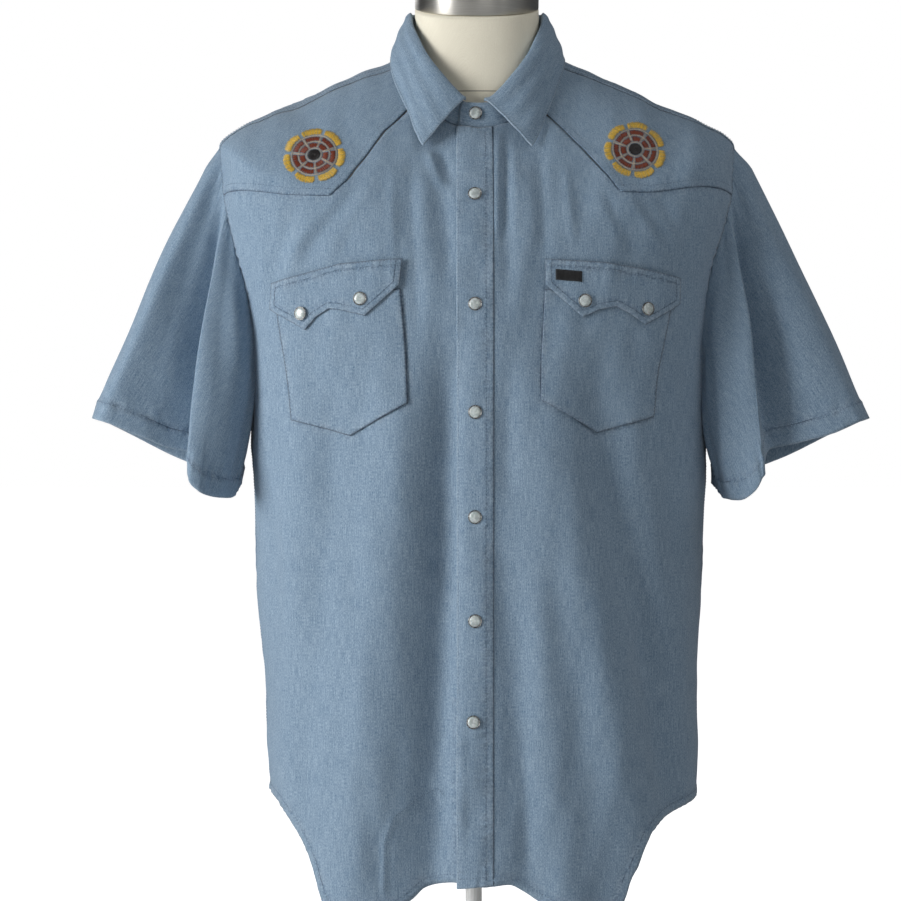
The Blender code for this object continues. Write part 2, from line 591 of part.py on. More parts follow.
# how far each laid piece stands off the front, so that it clears the folds under it
OUT_1 = LIFT + CLOTH + .0006
OVER = CLOTH + LIFT
POCKET_OUT = {"pocket_right": OUT_1, "pocket_left": OUT_1 + .0011}
SNAP_OUT = [OUT_1 + .0002, OUT_1 + .0006, OUT_1 + .0014, OUT_1 + .0014, OUT_1 + .0014, OUT_1 + .0014]
z_top = .9045
patch("placket", along([(PLACKET_L, PLACKET_BOTTOM - .001), (PLACKET_R, PLACKET_BOTTOM + .003)], 3),
      along([(PLACKET_L, z_top), (PLACKET_R, z_top + .0012)], 3),
      along([(PLACKET_L, PLACKET_BOTTOM - .001), (PLACKET_L, z_top)], 36),
      along([(PLACKET_R, PLACKET_BOTTOM + .003), (PLACKET_R, z_top + .0012)], 36), CHAMBRAY, OUT_1 + .0003)

for name, rows in (("pocket_right", POCKET_R), ("pocket_left", POCKET_L)):
    low = rows["bottom"]
    bottom = np.vstack([along(low[:2], 4), along(low[1:], 4)[1:]])
    patch(name, bottom, along(rows["top"], 8), along(rows["left"][::-1], 10), along(rows["right"][::-1], 10), CHAMBRAY, POCKET_OUT[name])

FLAP_OUT = {"pocket_flap_right": POCKET_OUT["pocket_right"] + OVER, "pocket_flap_left": POCKET_OUT["pocket_left"] + OVER}
for name, rows in (("pocket_flap_right", FLAP_R), ("pocket_flap_left", FLAP_L)):
    low = rows["bottom"]
    pieces = [along(low[k:k + 2], n) for k, n in enumerate(rows["cols"])]
    bottom = np.vstack([pieces[0]] + [p[1:] for p in pieces[1:]])
    top = along(rows["top"], len(bottom) - 1)
    xs = np.interp(bottom[:, 0], [bottom[0, 0], bottom[-1, 0]], [rows["top"][0][0], rows["top"][-1][0]])
    top = np.stack([xs, np.interp(xs, [p[0] for p in rows["top"]], [p[1] for p in rows["top"]])], -1)
    patch(name, bottom, top, along([bottom[0], top[0]], 3), along([bottom[-1], top[-1]], 3), CHAMBRAY, FLAP_OUT[name])

patch("label", along([LABEL[3], LABEL[2]], 2), along([LABEL[0], LABEL[1]], 2), along([LABEL[3], LABEL[0]], 1),
      along([LABEL[2], LABEL[1]], 1), (.02, .02, .022), FLAP_OUT["pocket_flap_left"] + .0013, .0008)


# ---------------------------------------------------------------- snaps
def turned(name, profile, mat, location, axis, steps=16):
    """Solid turned about its own Z from a profile of (radius, height), then laid along an axis."""
    mesh = bpy.data.meshes.new(name)
    bm = bmesh.new()
    verts = [bm.verts.new((r, 0, h)) for r, h in profile]
    for a, b in zip(verts, verts[1:]):
        bm.edges.new((a, b))
    bm.to_mesh(mesh)
    bm.free()
    obj = bpy.data.objects.new(name, mesh)
    PARTS.objects.link(obj)
    mesh.materials.append(mat)
    screw = obj.modifiers.new("turn", "SCREW")
    screw.steps = screw.render_steps = steps
    screw.use_merge_vertices, screw.merge_threshold = True, 0.00001
    screw.use_smooth_shade = True
    obj.rotation_mode = "QUATERNION"
    obj.rotation_quaternion = Vector(axis).to_track_quat("Z", "Y")
    obj.location = Vector(location)
    return obj


def snap(name, point, axis):
    r, h = SNAP_D / 2, SNAP_H
    profile = [(0, h), (r * .55, h * .93), (r * .90, h * .62), (r, h * .30), (r * .97, 0), (0, 0)]
    turned(name, profile, material(name, (.72, .74, .72), .25), point, axis, 14)


for k, (x, z) in enumerate(PLACKET_SNAPS):
    th, t = place(x, z)
    snap("snap_placket_%d" % (k + 1), cloth(th, t, SNAP_OUT[k]), normal(BODY, np.array(th), np.array(t)))
for name, x, z in FLAP_SNAPS:
    th, t = place(x, z)
    snap(name, cloth(th, t, FLAP_OUT["pocket_" + name[5:-2]] + .0008), normal(BODY, np.array(th), np.array(t)))
a = math.radians(-1.5)
low = ring_point([BODY[-1, n] for n in range(1, 9)], np.array(a))
high = stand_top(np.array(a))[0]
snap("snap_collar", low * .40 + high * .60 + np.array([0, -.0008, 0]), (0, -1, 0))


# ---------------------------------------------------------------- dress form
def torso():
    around, up = 28, 15
    a = np.linspace(0, 2 * math.pi, around + 1)
    t = np.array([.2551, .30, .36, .43, .50, .56, .63, .70, .76, .81, .85, .88, .900, .915, .935, .97, 1.005, 1.04, 1.0699])
    A, T = np.meshgrid(a, t, indexing="ij")
    body = chart(FORM, A, T) - normal(FORM, A, T) * FORM_INSET
    # neck: three rings up to the tilted top
    rings = [body]
    for half, sz, fy, fz, by, bz, power in ((.0640, .9990, -.0650, .9350, .0630, .9930, 2.0),
                                            (.0610, 1.0120, -.0612, .9700, .0605, 1.0200, 1.5),
                                            (NECK_R, 1.0316, -.0582, 1.0150, .0582, 1.0482, 1.0)):
        rings.append(ring_point([half, .003, 0, sz, fy, fz, by, bz], a, power)[:, None])
    grid = np.concatenate(rings, axis=1)
    nu, nv = grid.shape[0] - 1, grid.shape[1] - 1
    mesh = bpy.data.meshes.new("form_torso")
    bm = bmesh.new()
    bmesh.ops.create_grid(bm, x_segments=nu, y_segments=nv, size=1)
    for vert in bm.verts:
        vert.co = Vector(grid[round((vert.co.x + 1) / 2 * nu), round((vert.co.y + 1) / 2 * nv)])
    bmesh.ops.remove_doubles(bm, verts=bm.verts, dist=1e-6)
    bmesh.ops.holes_fill(bm, edges=[e for e in bm.edges if e.is_boundary], sides=0)
    bmesh.ops.recalc_face_normals(bm, faces=bm.faces)
    for face in bm.faces:
        face.smooth = len(face.verts) < 6
    bm.to_mesh(mesh)
    bm.free()
    obj = bpy.data.objects.new("form_torso", mesh)
    PARTS.objects.link(obj)
    mesh.materials.append(material("form_torso", LINEN, .8))
    return obj


torso()
tilt = Vector((0, -math.sin(NECK_TILT), math.cos(NECK_TILT)))
cap_at = Vector((.003, 0, 1.0316)) + tilt * .0004
turned("neck_cap", [(0, .0290), (.030, .0285), (.052, .0262), (.0585, .0235), (NECK_R, .0205), (NECK_R, 0), (0, 0)],
       material("neck_cap", (.55, .54, .52), .3, 1.0), cap_at, tilt, 32)
turned("post", [(0, FORM_BOTTOM - .0003), (POST_R, FORM_BOTTOM - .0003), (POST_R, BASE_H + .0063), (0, BASE_H + .0063)],
       material("post", (.85, .85, .84), .4), (0, 0, 0), (0, 0, 1), 16)
turned("base", [(0, BASE_H + .006), (.022, BASE_H + .006), (.026, BASE_H + .001), (BASE_R - .006, BASE_H), (BASE_R - .0015, BASE_H - .002),
                (BASE_R, BASE_H - .006), (BASE_R, 0), (0, 0)],
       material("base", (.85, .85, .84), .4), (0, 0, 0), (0, 0, 1), 36)
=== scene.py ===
# %% [markdown]
# This notebook dresses a short-sleeved western snap shirt that stands on a limbless dress form.
# The solids give every piece its place and true size, and each one is replaced here by a thin
# cloth shell with its own creases, puckers and stitching. We start by loading the solids.

# %% Load the solids
import json
import math

import bmesh
import bpy
import numpy as np
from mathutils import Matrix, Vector

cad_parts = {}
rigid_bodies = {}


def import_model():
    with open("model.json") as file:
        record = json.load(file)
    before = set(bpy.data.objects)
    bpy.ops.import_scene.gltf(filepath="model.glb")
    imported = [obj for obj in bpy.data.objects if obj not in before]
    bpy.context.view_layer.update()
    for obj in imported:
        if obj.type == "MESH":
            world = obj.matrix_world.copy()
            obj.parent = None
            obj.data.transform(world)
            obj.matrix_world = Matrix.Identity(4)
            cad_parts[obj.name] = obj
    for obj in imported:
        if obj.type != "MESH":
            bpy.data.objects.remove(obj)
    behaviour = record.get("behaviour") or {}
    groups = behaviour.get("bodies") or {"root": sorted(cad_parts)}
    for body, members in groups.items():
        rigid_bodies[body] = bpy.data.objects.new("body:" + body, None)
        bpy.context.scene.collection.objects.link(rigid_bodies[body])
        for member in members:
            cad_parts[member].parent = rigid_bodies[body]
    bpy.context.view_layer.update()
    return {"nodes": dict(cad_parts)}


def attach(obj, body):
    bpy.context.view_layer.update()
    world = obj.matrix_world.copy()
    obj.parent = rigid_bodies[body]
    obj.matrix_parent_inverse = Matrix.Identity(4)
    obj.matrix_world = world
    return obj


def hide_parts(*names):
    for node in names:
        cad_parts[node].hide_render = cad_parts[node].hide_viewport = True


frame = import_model()

# %% [markdown]
# The camera comes first, so that every later choice can be judged in its view. A shirt on a form is
# looked at straight on with a long lens, which keeps both shoulders and the hem free of distortion.

# %% Camera
FRAME_PX = 901
FOCAL_PX = 2656.8
camera = bpy.data.objects.new("camera", bpy.data.cameras.new("camera"))
bpy.context.scene.collection.objects.link(camera)
camera.data.sensor_width = 36.0
camera.data.lens = FOCAL_PX / FRAME_PX * camera.data.sensor_width
camera.data.clip_end = 60
camera.location = (-0.0227, -2.6, 0.600)
camera.rotation_euler = (math.radians(90), 0, 0)
bpy.context.scene.camera = camera
print("lens", round(camera.data.lens, 1), "mm")

# %% [markdown]
# A shirt body is a tube that narrows over the shoulders to the neck. One chart describes all of it:
# the angle runs round the body and t runs up it, over the shoulder and to the collar seam. Each row
# of the table is one ring, with its half width, its middle, and its side, front and back points.
# All panels are cut out of this one chart, so they meet at their seams.

# %% Rings of the body
SQUARE = 0.12
NECKLINE, UNDERARM, LOWEST = 1.075, 0.693, 0.150
# ring: t, half_width, centre_x, side_y, side_z, front_y, front_z, back_y, back_z
BODY = np.array([
    (0.150, .2075, .0090, 0, .1500, -.1340, .150, .1180, .150),
    (0.270, .2075, .0090, 0, .2700, -.1360, .270, .1200, .270),
    (0.317, .2099, .0076, 0, .3170, -.1365, .317, .1200, .317),
    (0.375, .2104, .0071, 0, .3750, -.1370, .375, .1205, .375),
    (0.454, .2153, .0052, 0, .4540, -.1380, .454, .1210, .454),
    (0.552, .2197, .0057, 0, .5520, -.1400, .552, .1210, .552),
    (0.620, .2215, .0045, 0, .6200, -.1410, .620, .1215, .620),
    (0.693, .2226, .0037, 0, .6930, -.1415, .693, .1220, .693),
    (0.720, .2250, .0035, 0, .7200, -.1410, .715, .1225, .717),
    (0.760, .2305, .0030, 0, .7600, -.1395, .748, .1230, .752),
    (0.800, .2414, .0025, 0, .8000, -.1370, .775, .1220, .783),
    (0.830, .2480, .0025, 0, .8300, -.1340, .793, .1200, .806),
    (0.850, .2507, .0025, 0, .8500, -.1310, .803, .1180, .820),
    (0.890, .2510, .0025, 0, .8965, -.1250, .822, .1130, .848),
    (0.930, .2140, .0025, 0, .9225, -.1170, .845, .1060, .882),
    (0.980, .1700, .0027, 0, .9430, -.1050, .866, .0940, .915),
    (1.030, .1240, .0030, 0, .9635, -.0920, .887, .0820, .945),
    (1.075, .0740, .0030, 0, .9840, -.0780, .905, .0700, .968)])


def monotone(xs, ys, x):
    """A smooth curve through a table's column that never overshoots."""
    h = np.diff(xs)
    d = np.diff(ys) / h
    m = np.zeros_like(ys)
    m[0], m[-1] = d[0], d[-1]
    for i in range(1, len(xs) - 1):
        if d[i - 1] * d[i] > 0:
            w1, w2 = 2 * h[i] + h[i - 1], h[i] + 2 * h[i - 1]
            m[i] = (w1 + w2) / (w1 / d[i - 1] + w2 / d[i])
    x = np.clip(x, xs[0], xs[-1])
    i = np.clip(np.searchsorted(xs, x, side="right") - 1, 0, len(h) - 1)
    s = (x - xs[i]) / h[i]
    return ((1 + 2 * s) * (1 - s) ** 2 * ys[i] + s * (1 - s) ** 2 * h[i] * m[i]
            + s * s * (3 - 2 * s) * ys[i + 1] + s * s * (s - 1) * h[i] * m[i + 1])


def curve(table, column, x):
    """One column of a table as a smooth curve of its first column."""
    return monotone(table[:, 0], table[:, column], x)


def ring_point(row, theta, power=2.0):
    half, cx, sy, sz, fy, fz, by, bz = row
    s, c = np.sin(theta), np.cos(theta)
    wide = s * (1 + SQUARE * c * c)
    deep = np.abs(c * (1 + SQUARE * s * s))
    ey, ez = np.where(c >= 0, fy, by), np.where(c >= 0, fz, bz)
    return np.stack([cx + half * wide, sy + (ey - sy) * deep, ez + (sz - ez) * (1 - deep ** power)], -1)


def chart(table, theta, t):
    return ring_point([curve(table, n, t) for n in range(1, 9)], theta)


# small steps in angle and t that give slopes on the chart, and how far those keep from its two ends
STEP_A, STEP_T, RIM = .002, .001, .0011


def chart_normal(table, theta, t):
    t = np.clip(t, table[0, 0] + RIM, table[-1, 0] - RIM)
    du = chart(table, theta + STEP_A, t) - chart(table, theta - STEP_A, t)
    dv = chart(table, theta, t + STEP_T) - chart(table, theta, t - STEP_T)
    n = np.cross(du, dv)
    return n / np.linalg.norm(n, axis=-1, keepdims=True)


def half_width(t):
    return curve(BODY, 1, t)


def running(points):
    """Length along a line of points, from nothing at its first."""
    return np.r_[0, np.cumsum(np.linalg.norm(np.diff(points, axis=0), axis=1))]


CHEST = chart(BODY, np.linspace(0, 2 * np.pi, 200), np.full(200, UNDERARM))
print("chest round", round(float(running(CHEST)[-1]), 3), "m")

# %% [markdown]
# Three kinds of coordinates are handy. The chart has an angle and t. Flat coordinates turn the angle
# into a distance from the middle, which is how a pattern cutter sees a panel. Metric coordinates also
# turn t into a real length up the cloth, so that a distance of 2 mm from a seam is 2 mm everywhere.
# place() goes the other way: it finds the chart point of the front that lies at a given x and z.

# %% Coordinates on the cloth
rad = np.radians
ANGLES = np.linspace(0, np.pi / 2, 3000)
WIDES = np.sin(ANGLES) * (1 + SQUARE * np.cos(ANGLES) ** 2)
TURNS, CLIMB = np.linspace(-np.pi, 2 * np.pi, 271), np.linspace(LOWEST, NECKLINE, 120)
FRONT_COLUMN, HALVINGS = 90, 34
_net = chart(BODY, TURNS[:, None], CLIMB[None, :])
_round = np.cumsum(np.linalg.norm(np.diff(_net, axis=0, prepend=_net[:1]), axis=-1), axis=0)
_rise = np.cumsum(np.linalg.norm(np.diff(_net, axis=1, prepend=_net[:, :1]), axis=-1), axis=1)


def spread(theta, t):
    """Metres round the body from the front's middle, and metres up the cloth."""
    i = np.clip((theta - TURNS[0]) / (TURNS[1] - TURNS[0]), 0, len(TURNS) - 1.001)
    j = np.clip((t - CLIMB[0]) / (CLIMB[1] - CLIMB[0]), 0, len(CLIMB) - 1.001)
    a, b = i.astype(int), j.astype(int)
    f, g = i - a, j - b
    out = []
    for net in (_round - _round[FRONT_COLUMN], _rise):
        out.append((1 - f) * (1 - g) * net[a, b] + f * (1 - g) * net[a + 1, b]
                   + (1 - f) * g * net[a, b + 1] + f * g * net[a + 1, b + 1])
    return np.stack(out, -1)


def flat(points, middle=0.0):
    points = np.asarray(points, float)
    return np.stack([(points[..., 0] - middle) * half_width(points[..., 1]), points[..., 1]], -1)


def bent(points, middle=0.0):
    return np.stack([points[..., 0] / half_width(points[..., 1]) + middle, points[..., 1]], -1)


def angle_at(x, t):
    """Angle on the front at a given x, and x as a share of the half width."""
    wide = (x - curve(BODY, 2, t)) / half_width(t)
    return np.sign(wide) * np.interp(np.abs(wide), WIDES, ANGLES), wide


def place(x, z):
    """The front's chart point at a given x and z, found by halving the range of t."""
    x, z = np.broadcast_arrays(np.asarray(x, float), np.asarray(z, float))
    lo, hi = np.full(x.shape, LOWEST), np.full(x.shape, NECKLINE)
    for _ in range(HALVINGS):
        t = (lo + hi) / 2
        theta, wide = angle_at(x, t)
        low = (chart(BODY, theta, t)[..., 2] < z) & ~((np.abs(wide) >= 1) & (t > .75))
        lo, hi = np.where(low, t, lo), np.where(low, hi, t)
    return theta, t


def along(points, count):
    """Equal steps along a polyline."""
    points = np.array(points, float)
    run = running(points)
    s = np.linspace(0, run[-1], count + 1)
    return np.stack([np.interp(s, run, points[:, k]) for k in range(points.shape[1])], -1)


def coons(bottom, top, left, right, share=None):
    """Grid of points inside four edges given as lists of points; share spaces the rows."""
    nu, nv = len(bottom), len(left)
    share = np.linspace(0, 1, nv) if share is None else share
    u, v = np.linspace(0, 1, nu)[:, None, None], share[None, :, None]
    b, t, l, r = bottom[:, None], top[:, None], left[None], right[None]
    return ((1 - v) * b + v * t + (1 - u) * l + u * r
            - ((1 - u) * (1 - v) * bottom[0] + u * (1 - v) * bottom[-1]
               + (1 - u) * v * top[0] + u * v * top[-1]))


def near(points, line):
    """Distance of each point to a polyline, and the length along it there."""
    best = np.full(points.shape[:-1], 1e9)
    where = np.zeros(points.shape[:-1])
    run = 0.0
    for a, b in zip(line[:-1], line[1:]):
        d = b - a
        length = float(np.linalg.norm(d))
        if length < 1e-9:
            continue
        s = np.clip(((points - a) @ d) / length ** 2, 0, 1)
        gap = np.linalg.norm(points - a - s[..., None] * d, axis=-1)
        closer = gap < best
        best = np.where(closer, gap, best)
        where = np.where(closer, run + s * length, where)
        run += length
    return best, where


def smooth(x):
    x = np.clip(x, 0, 1)
    return x * x * (3 - 2 * x)


print("length up the front", round(float(_rise[FRONT_COLUMN, -1]), 3), "m")

# %% [markdown]
# These are the lines a cutter would chalk: the hems, the armhole, the pointed western yoke seam on
# each front, the shoulder seams and the back yoke seam.

# %% Cutting lines
# front hem: angle from the centre, height
HEM_R = np.array([(0, .1945), (7.0, .1980), (9.6, .1968), (14.2, .1921), (17.1, .1819), (21, .1735),
                  (28.3, .1685), (36, .1695), (41.5, .1750), (45.5, .1960), (48.8, .2137), (55, .2364),
                  (62.5, .2560), (73, .2665), (90, .2700)])
HEM_L = np.array([(0, .1945), (5.5, .1965), (9.0, .1900), (12.5, .1810), (17, .1730), (24, .1685),
                  (32.5, .1710), (35.2, .1800), (36.8, .1980), (38.6, .2090), (41, .2268), (44.5, .2431),
                  (53, .2544), (68, .2630), (90, .2670)])
# back hem: angle from the back's middle, height
HEM_B = np.array([(0, .1690), (15, .1690), (27, .1710), (37, .1790), (45, .1980), (53, .2260),
                  (62, .2480), (74, .2630), (90, .2690)])
# armhole: part of the way round from the shoulder tip, angle, t
ARMHOLE = np.array([(0, 90, .893), (.05, 83, .886), (.10, 79, .868), (.15, 76, .850), (.22, 73, .818),
                    (.29, 72, .785), (.36, 73, .750), (.43, 79, .716), (.50, 90, .693), (.57, 101, .716),
                    (.64, 107, .750), (.71, 108, .785), (.78, 107, .818), (.85, 104, .850),
                    (.90, 101, .868), (.95, 97, .886), (1, 90, .893)])
ARM_SEAM, ARM_YOKE, ARM_PATCH, ARM_BACK = .05, .15, .36, .85
# yoke seam from the neckline to the armhole: x, z
YOKE_R = [(-.0651, .9235), (-.0857, .9019), (-.1042, .8756), (-.1198, .8538), (-.1356, .8384),
          (-.1560, .8392), (-.1766, .8404), (-.2100, .8455)]
YOKE_L = [(.0701, .9193), (.0870, .9020), (.1043, .8837), (.1202, .8630), (.1361, .8422),
          (.1530, .8424), (.1695, .8429), (.2008, .8480)]
YOKE_POINT = 4
# pocket edges: x, z
POCKET_R = dict(top=[(-.1845, .7420), (-.0690, .7500)],
                left=[(-.1845, .7420), (-.1846, .7298), (-.1729, .6494), (-.1709, .6287)],
                right=[(-.0690, .7500), (-.0640, .6950), (-.0612, .6440)],
                bottom=[(-.1709, .6287), (-.1163, .6135), (-.0612, .6440)])
POCKET_L = dict(top=[(.0649, .7500), (.1850, .7400)],
                left=[(.0649, .7500), (.0611, .6876), (.0602, .6468)],
                right=[(.1850, .7400), (.1840, .7314), (.1722, .6756), (.1673, .6314)],
                bottom=[(.0602, .6468), (.1154, .6163), (.1673, .6314)])
# shoulder seam and half of the back yoke's seam: angle, t
SHOULDER_SEAM = [(70, 1.075), (71, 1.0627), (73.5, 1.027), (74.5, .9867), (76, .9338), (78.5, .9114)]
BACK_YOKE = [(104, .850), (120, .846), (150, .838), (180, .832)]
BACK_SEAM = [(rad(th), t) for th, t in BACK_YOKE + [(360 - th, t) for th, t in BACK_YOKE[-2::-1]]]
WORD = {-1: "right", 1: "left"}
HEMS = {-1: HEM_R, 1: HEM_L}
POCKETS = {-1: POCKET_R, 1: POCKET_L}


def armhole(side, s):
    return np.stack([side * rad(curve(ARMHOLE, 1, s)), curve(ARMHOLE, 2, s)], -1)


def yoke_seam(side):
    rows = np.array(YOKE_R if side < 0 else YOKE_L)
    theta, t = place(rows[:, 0], rows[:, 1])
    start = np.array([[side * rad(44.0), NECKLINE]])
    return np.vstack([start, np.stack([theta, t], -1), armhole(side, np.array([ARM_YOKE]))])


# enough steps that the front and back yokes follow one and the same line
SHOULDER_STEPS = 60


def shoulder_seam(side):
    rows = [(side * rad(th), t) for th, t in SHOULDER_SEAM] + [tuple(armhole(side, np.array(ARM_SEAM)))]
    return bent(along(flat(rows), SHOULDER_STEPS))


def hem_line(table, start, end, middle=0.0):
    """Chart points of a hem from one angle to another, in degrees from a middle."""
    angles = np.linspace(start, end, 70)
    return np.stack([rad(angles), curve(table, 1, np.abs(angles - middle))], -1)


def lay(path, count=90):
    """Points in space of a path on the chart."""
    path = along(flat(path), count)
    return chart(BODY, *np.moveaxis(bent(path), -1, 0))


def pocket_outline(side):
    rows = POCKETS[side]
    return np.vstack([rows["left"], rows["bottom"][1:], rows["right"][::-1][1:]])


SEAMS = {}
for side, word in WORD.items():
    SEAMS["yoke_" + word] = lay(yoke_seam(side))
    SEAMS["shoulder_" + word] = lay(shoulder_seam(side))
    SEAMS["arm_" + word] = lay(armhole(side, np.linspace(0, 1, 80)))
    SEAMS["side_" + word] = lay([(side * rad(90), .268), (side * rad(90), UNDERARM)])
    SEAMS["hem_" + word] = lay(hem_line(HEMS[side], 0, side * 90))
    theta, t = place(*along(pocket_outline(side), 90).T)
    SEAMS["pocket_" + word] = chart(BODY, theta, t)
SEAMS["hem_back"] = lay(hem_line(HEM_B, 90, 270, 180), 120)
SEAMS["back_yoke"] = lay(BACK_SEAM)
for key, line in SEAMS.items():
    print(key, round(float(running(line)[-1]), 3), "m")

# %% [markdown]
# Cloth never hangs quite smooth. The largest folds are rows of a table, each a soft ridge or trough
# that wanders through three points. Smaller drag lines are straight creases between two points. A
# few long waves keep the rest from looking ironed, and every seam is drawn in by its thread, which
# leaves short puckers square to it.

# %% Folds, creases and puckers
# fold: face (1 front, -1 back), then at each level its x, then its height, then half width low and high
FOLD_TOP = .735
LEVELS = np.array([.20, .42, .64])
FOLDS = [
    (1, (-.112, -.094, -.070), (.012, .013, .008), .034, .030),
    (1, (-.040, -.033, -.028), (-.013, -.014, -.010), .022, .014),
    (1, (-.172, -.150, -.128), (-.003, -.004, -.003), .016, .020),
    (1, (-.186, -.180, -.168), (.003, .004, .004), .014, .018),
    (1, (.048, .036, .026), (-.004, -.004, -.002), .018, .014),
    (1, (.084, .060, .044), (.005, .005, .003), .026, .020),
    (1, (.160, .116, .072), (.010, .011, .007), .028, .026),
    (1, (.204, .160, .116), (-.005, -.010, -.008), .020, .024),
    (1, (.214, .206, .192), (.001, .005, .005), .010, .014),
    (-1, (-.125, -.112, -.100), (.0065, .0065, .005), .028, .028),
    (-1, (-.050, -.045, -.037), (-.006, -.006, -.005), .022, .022),
    (-1, (.045, .050, .042), (.0055, .0055, .005), .026, .026),
    (-1, (.135, .118, .108), (-.006, -.006, -.005), .022, .022)]
# crease: face, x and z at its two ends, half width, height
CREASES = np.array([
    (1, -.171, .832, -.204, .712, .0080, -.0022),
    (1, -.150, .826, -.178, .765, .0070, .0014),
    (1, -.205, .815, -.196, .700, .0070, .0018),
    (1, -.033, .875, -.028, .760, .0080, -.0022),
    (1, -.050, .860, -.046, .780, .0090, .0016),
    (1, .031, .880, .030, .740, .0080, -.0020),
    (1, .048, .860, .050, .790, .0090, .0015),
    (1, .160, .834, .190, .770, .0080, -.0022),
    (1, .205, .820, .195, .700, .0080, -.0020),
    (1, -.0330, .884, -.0205, .852, .0050, -.0016),
    (1, -.0430, .882, -.0300, .846, .0050, .0030),
    (1, -.0255, .835, -.0235, .770, .0050, -.0014),
    (1, -.060, .872, -.052, .700, .0060, -.0014),
    (1, -.078, .866, -.074, .740, .0055, .0012),
    (1, -.118, .838, -.165, .775, .0060, -.0016),
    (1, -.132, .835, -.172, .785, .0050, .0014),
    (1, -.100, .845, -.140, .775, .0060, .0012),
    (1, .0225, .892, .0215, .800, .0035, .0026),
    (1, .0275, .885, .0260, .790, .0040, -.0016),
    (1, .0360, .890, .0380, .800, .0050, .0018),
    (1, .062, .880, .064, .790, .0060, -.0016),
    (1, .085, .868, .092, .790, .0055, .0013),
    (1, .122, .842, .150, .782, .0060, -.0015),
    (1, .142, .840, .182, .786, .0055, .0015),
    (1, .172, .842, .197, .800, .0055, -.0018),
    (1, .182, .600, .196, .480, .0110, -.0030),
    (1, -.196, .610, -.190, .430, .0100, -.0022),
    (1, -.036, .331, -.020, .343, .0040, -.0012),
    (1, .030, .560, .034, .400, .0070, .0012),
    (1, -.100, .300, -.088, .190, .0100, -.0024),
    (1, .046, .330, .050, .200, .0080, -.0022),
    (-1, -.160, .800, -.190, .700, .0090, -.0024),
    (-1, .160, .800, .190, .700, .0090, -.0024),
    (-1, -.070, .826, -.075, .740, .0080, .0018),
    (-1, .075, .826, .080, .730, .0080, .0018),
    (-1, .000, .826, .004, .700, .0100, -.0018),
    (-1, -.160, .520, -.175, .330, .0120, .0030),
    (-1, .165, .560, .172, .300, .0120, .0026)])
# wave: cycles a metre across and up, phase, height
WAVES = np.array([(9.0, 1.3, .3, .0007), (14.0, -2.1, 1.7, .0006), (23.0, 3.4, 4.1, .0004),
                  (37.0, -5.0, 2.2, .00022), (5.0, 7.0, .9, .0005), (12.0, 13.0, 5.2, .00025),
                  (29.0, 21.0, 3.3, .00012)])


def folds(x, z, front):
    total = np.zeros_like(x)
    ends = smooth((FOLD_TOP - z) / .14)
    for side, xs, heights, low, high in FOLDS:
        line = monotone(LEVELS, np.array(xs), z)
        height = monotone(LEVELS, np.array(heights), z) * ends
        half = low + (high - low) * np.clip((z - LEVELS[0]) / (LEVELS[2] - LEVELS[0]), 0, 1)
        total += np.where(front == (side > 0), height * bell(x - line, half), 0)
    total *= smooth((.205 - np.abs(x - .006)) / .05)
    for side, x0, z0, x1, z1, half, height in CREASES:
        ax, az = x1 - x0, z1 - z0
        length = math.hypot(ax, az)
        s = ((x - x0) * ax + (z - z0) * az) / length ** 2
        off = ((x - x0) * az - (z - z0) * ax) / length
        ends = smooth((s + .15) / .35) * smooth((1.15 - s) / .35)
        total += np.where(front == (side > 0), height * ends * bell(off, half), 0)
    return total


def waves(p, up):
    bend = .012 * np.sin(2 * np.pi * 1.7 * up + 1.0)
    return sum(h * np.sin(2 * np.pi * (a * (p + bend) + b * up) + c) for a, b, c, h in WAVES)


def pucker(gap, run, depth, pitch, reach):
    uneven = .6 + .4 * np.sin(2 * np.pi * run / (pitch * 5.3) + 1.1)
    return depth * uneven * np.exp(-gap / reach) * np.sin(
        2 * np.pi * run / pitch + 1.8 * np.sin(2 * np.pi * run / (pitch * 3.7)))


# seam: the sides or face it is on, then depth, pitch and reach of its puckers
BOTH = ("_right", "_left")
PUCKERS = [("yoke", BOTH, .00022, .011, .008), ("shoulder", BOTH, .0002, .012, .007),
           ("arm", BOTH, .0008, .0080, .009), ("side", BOTH, .00025, .021, .012),
           ("hem", BOTH, .0005, .010, .011), ("hem", ("_back",), .0006, .012, .010),
           ("back", ("_yoke",), .00022, .013, .008),
           ("pocket", BOTH, .0003, .009, .006)]


# a line pressed through from inside, low on the right front: x and z
PRESSED = np.array([(-.0835, .190), (-.0830, .236), (-.0745, .2590), (-.0540, .2760),
                    (-.0355, .2850), (-.0300, .2780)])
PRESSED_TOP = .31
# a seam farther off than this leaves no pucker
FAR_OFF = .05


def bell(off, half):
    return np.exp(-(off / half) ** 2)


def relief(theta, p):
    """Height of the cloth's outer face above the chart."""
    front = np.cos(theta) >= 0
    total = folds(p[..., 0], p[..., 2], front) + waves(p[..., 0] + .3 * ~front, p[..., 2])
    if front.any() and (p[..., 2] < PRESSED_TOP).any():
        gap = near(p[..., [0, 2]], PRESSED)[0]
        total += np.where(front, .0012 * bell(gap, .0026) - .0005 * bell(gap - .0042, .0016), 0)
    span = tuple(range(p.ndim - 1))
    for name, ends, depth, pitch, reach in PUCKERS:
        for end in ends:
            line = SEAMS[name + end]
            if (p.max(axis=span) < line.min(axis=0) - FAR_OFF).any():
                continue
            if (p.min(axis=span) > line.max(axis=0) + FAR_OFF).any():
                continue
            gap, run = near(p, line)
            total += pucker(gap, run, depth, pitch, reach)
    return total


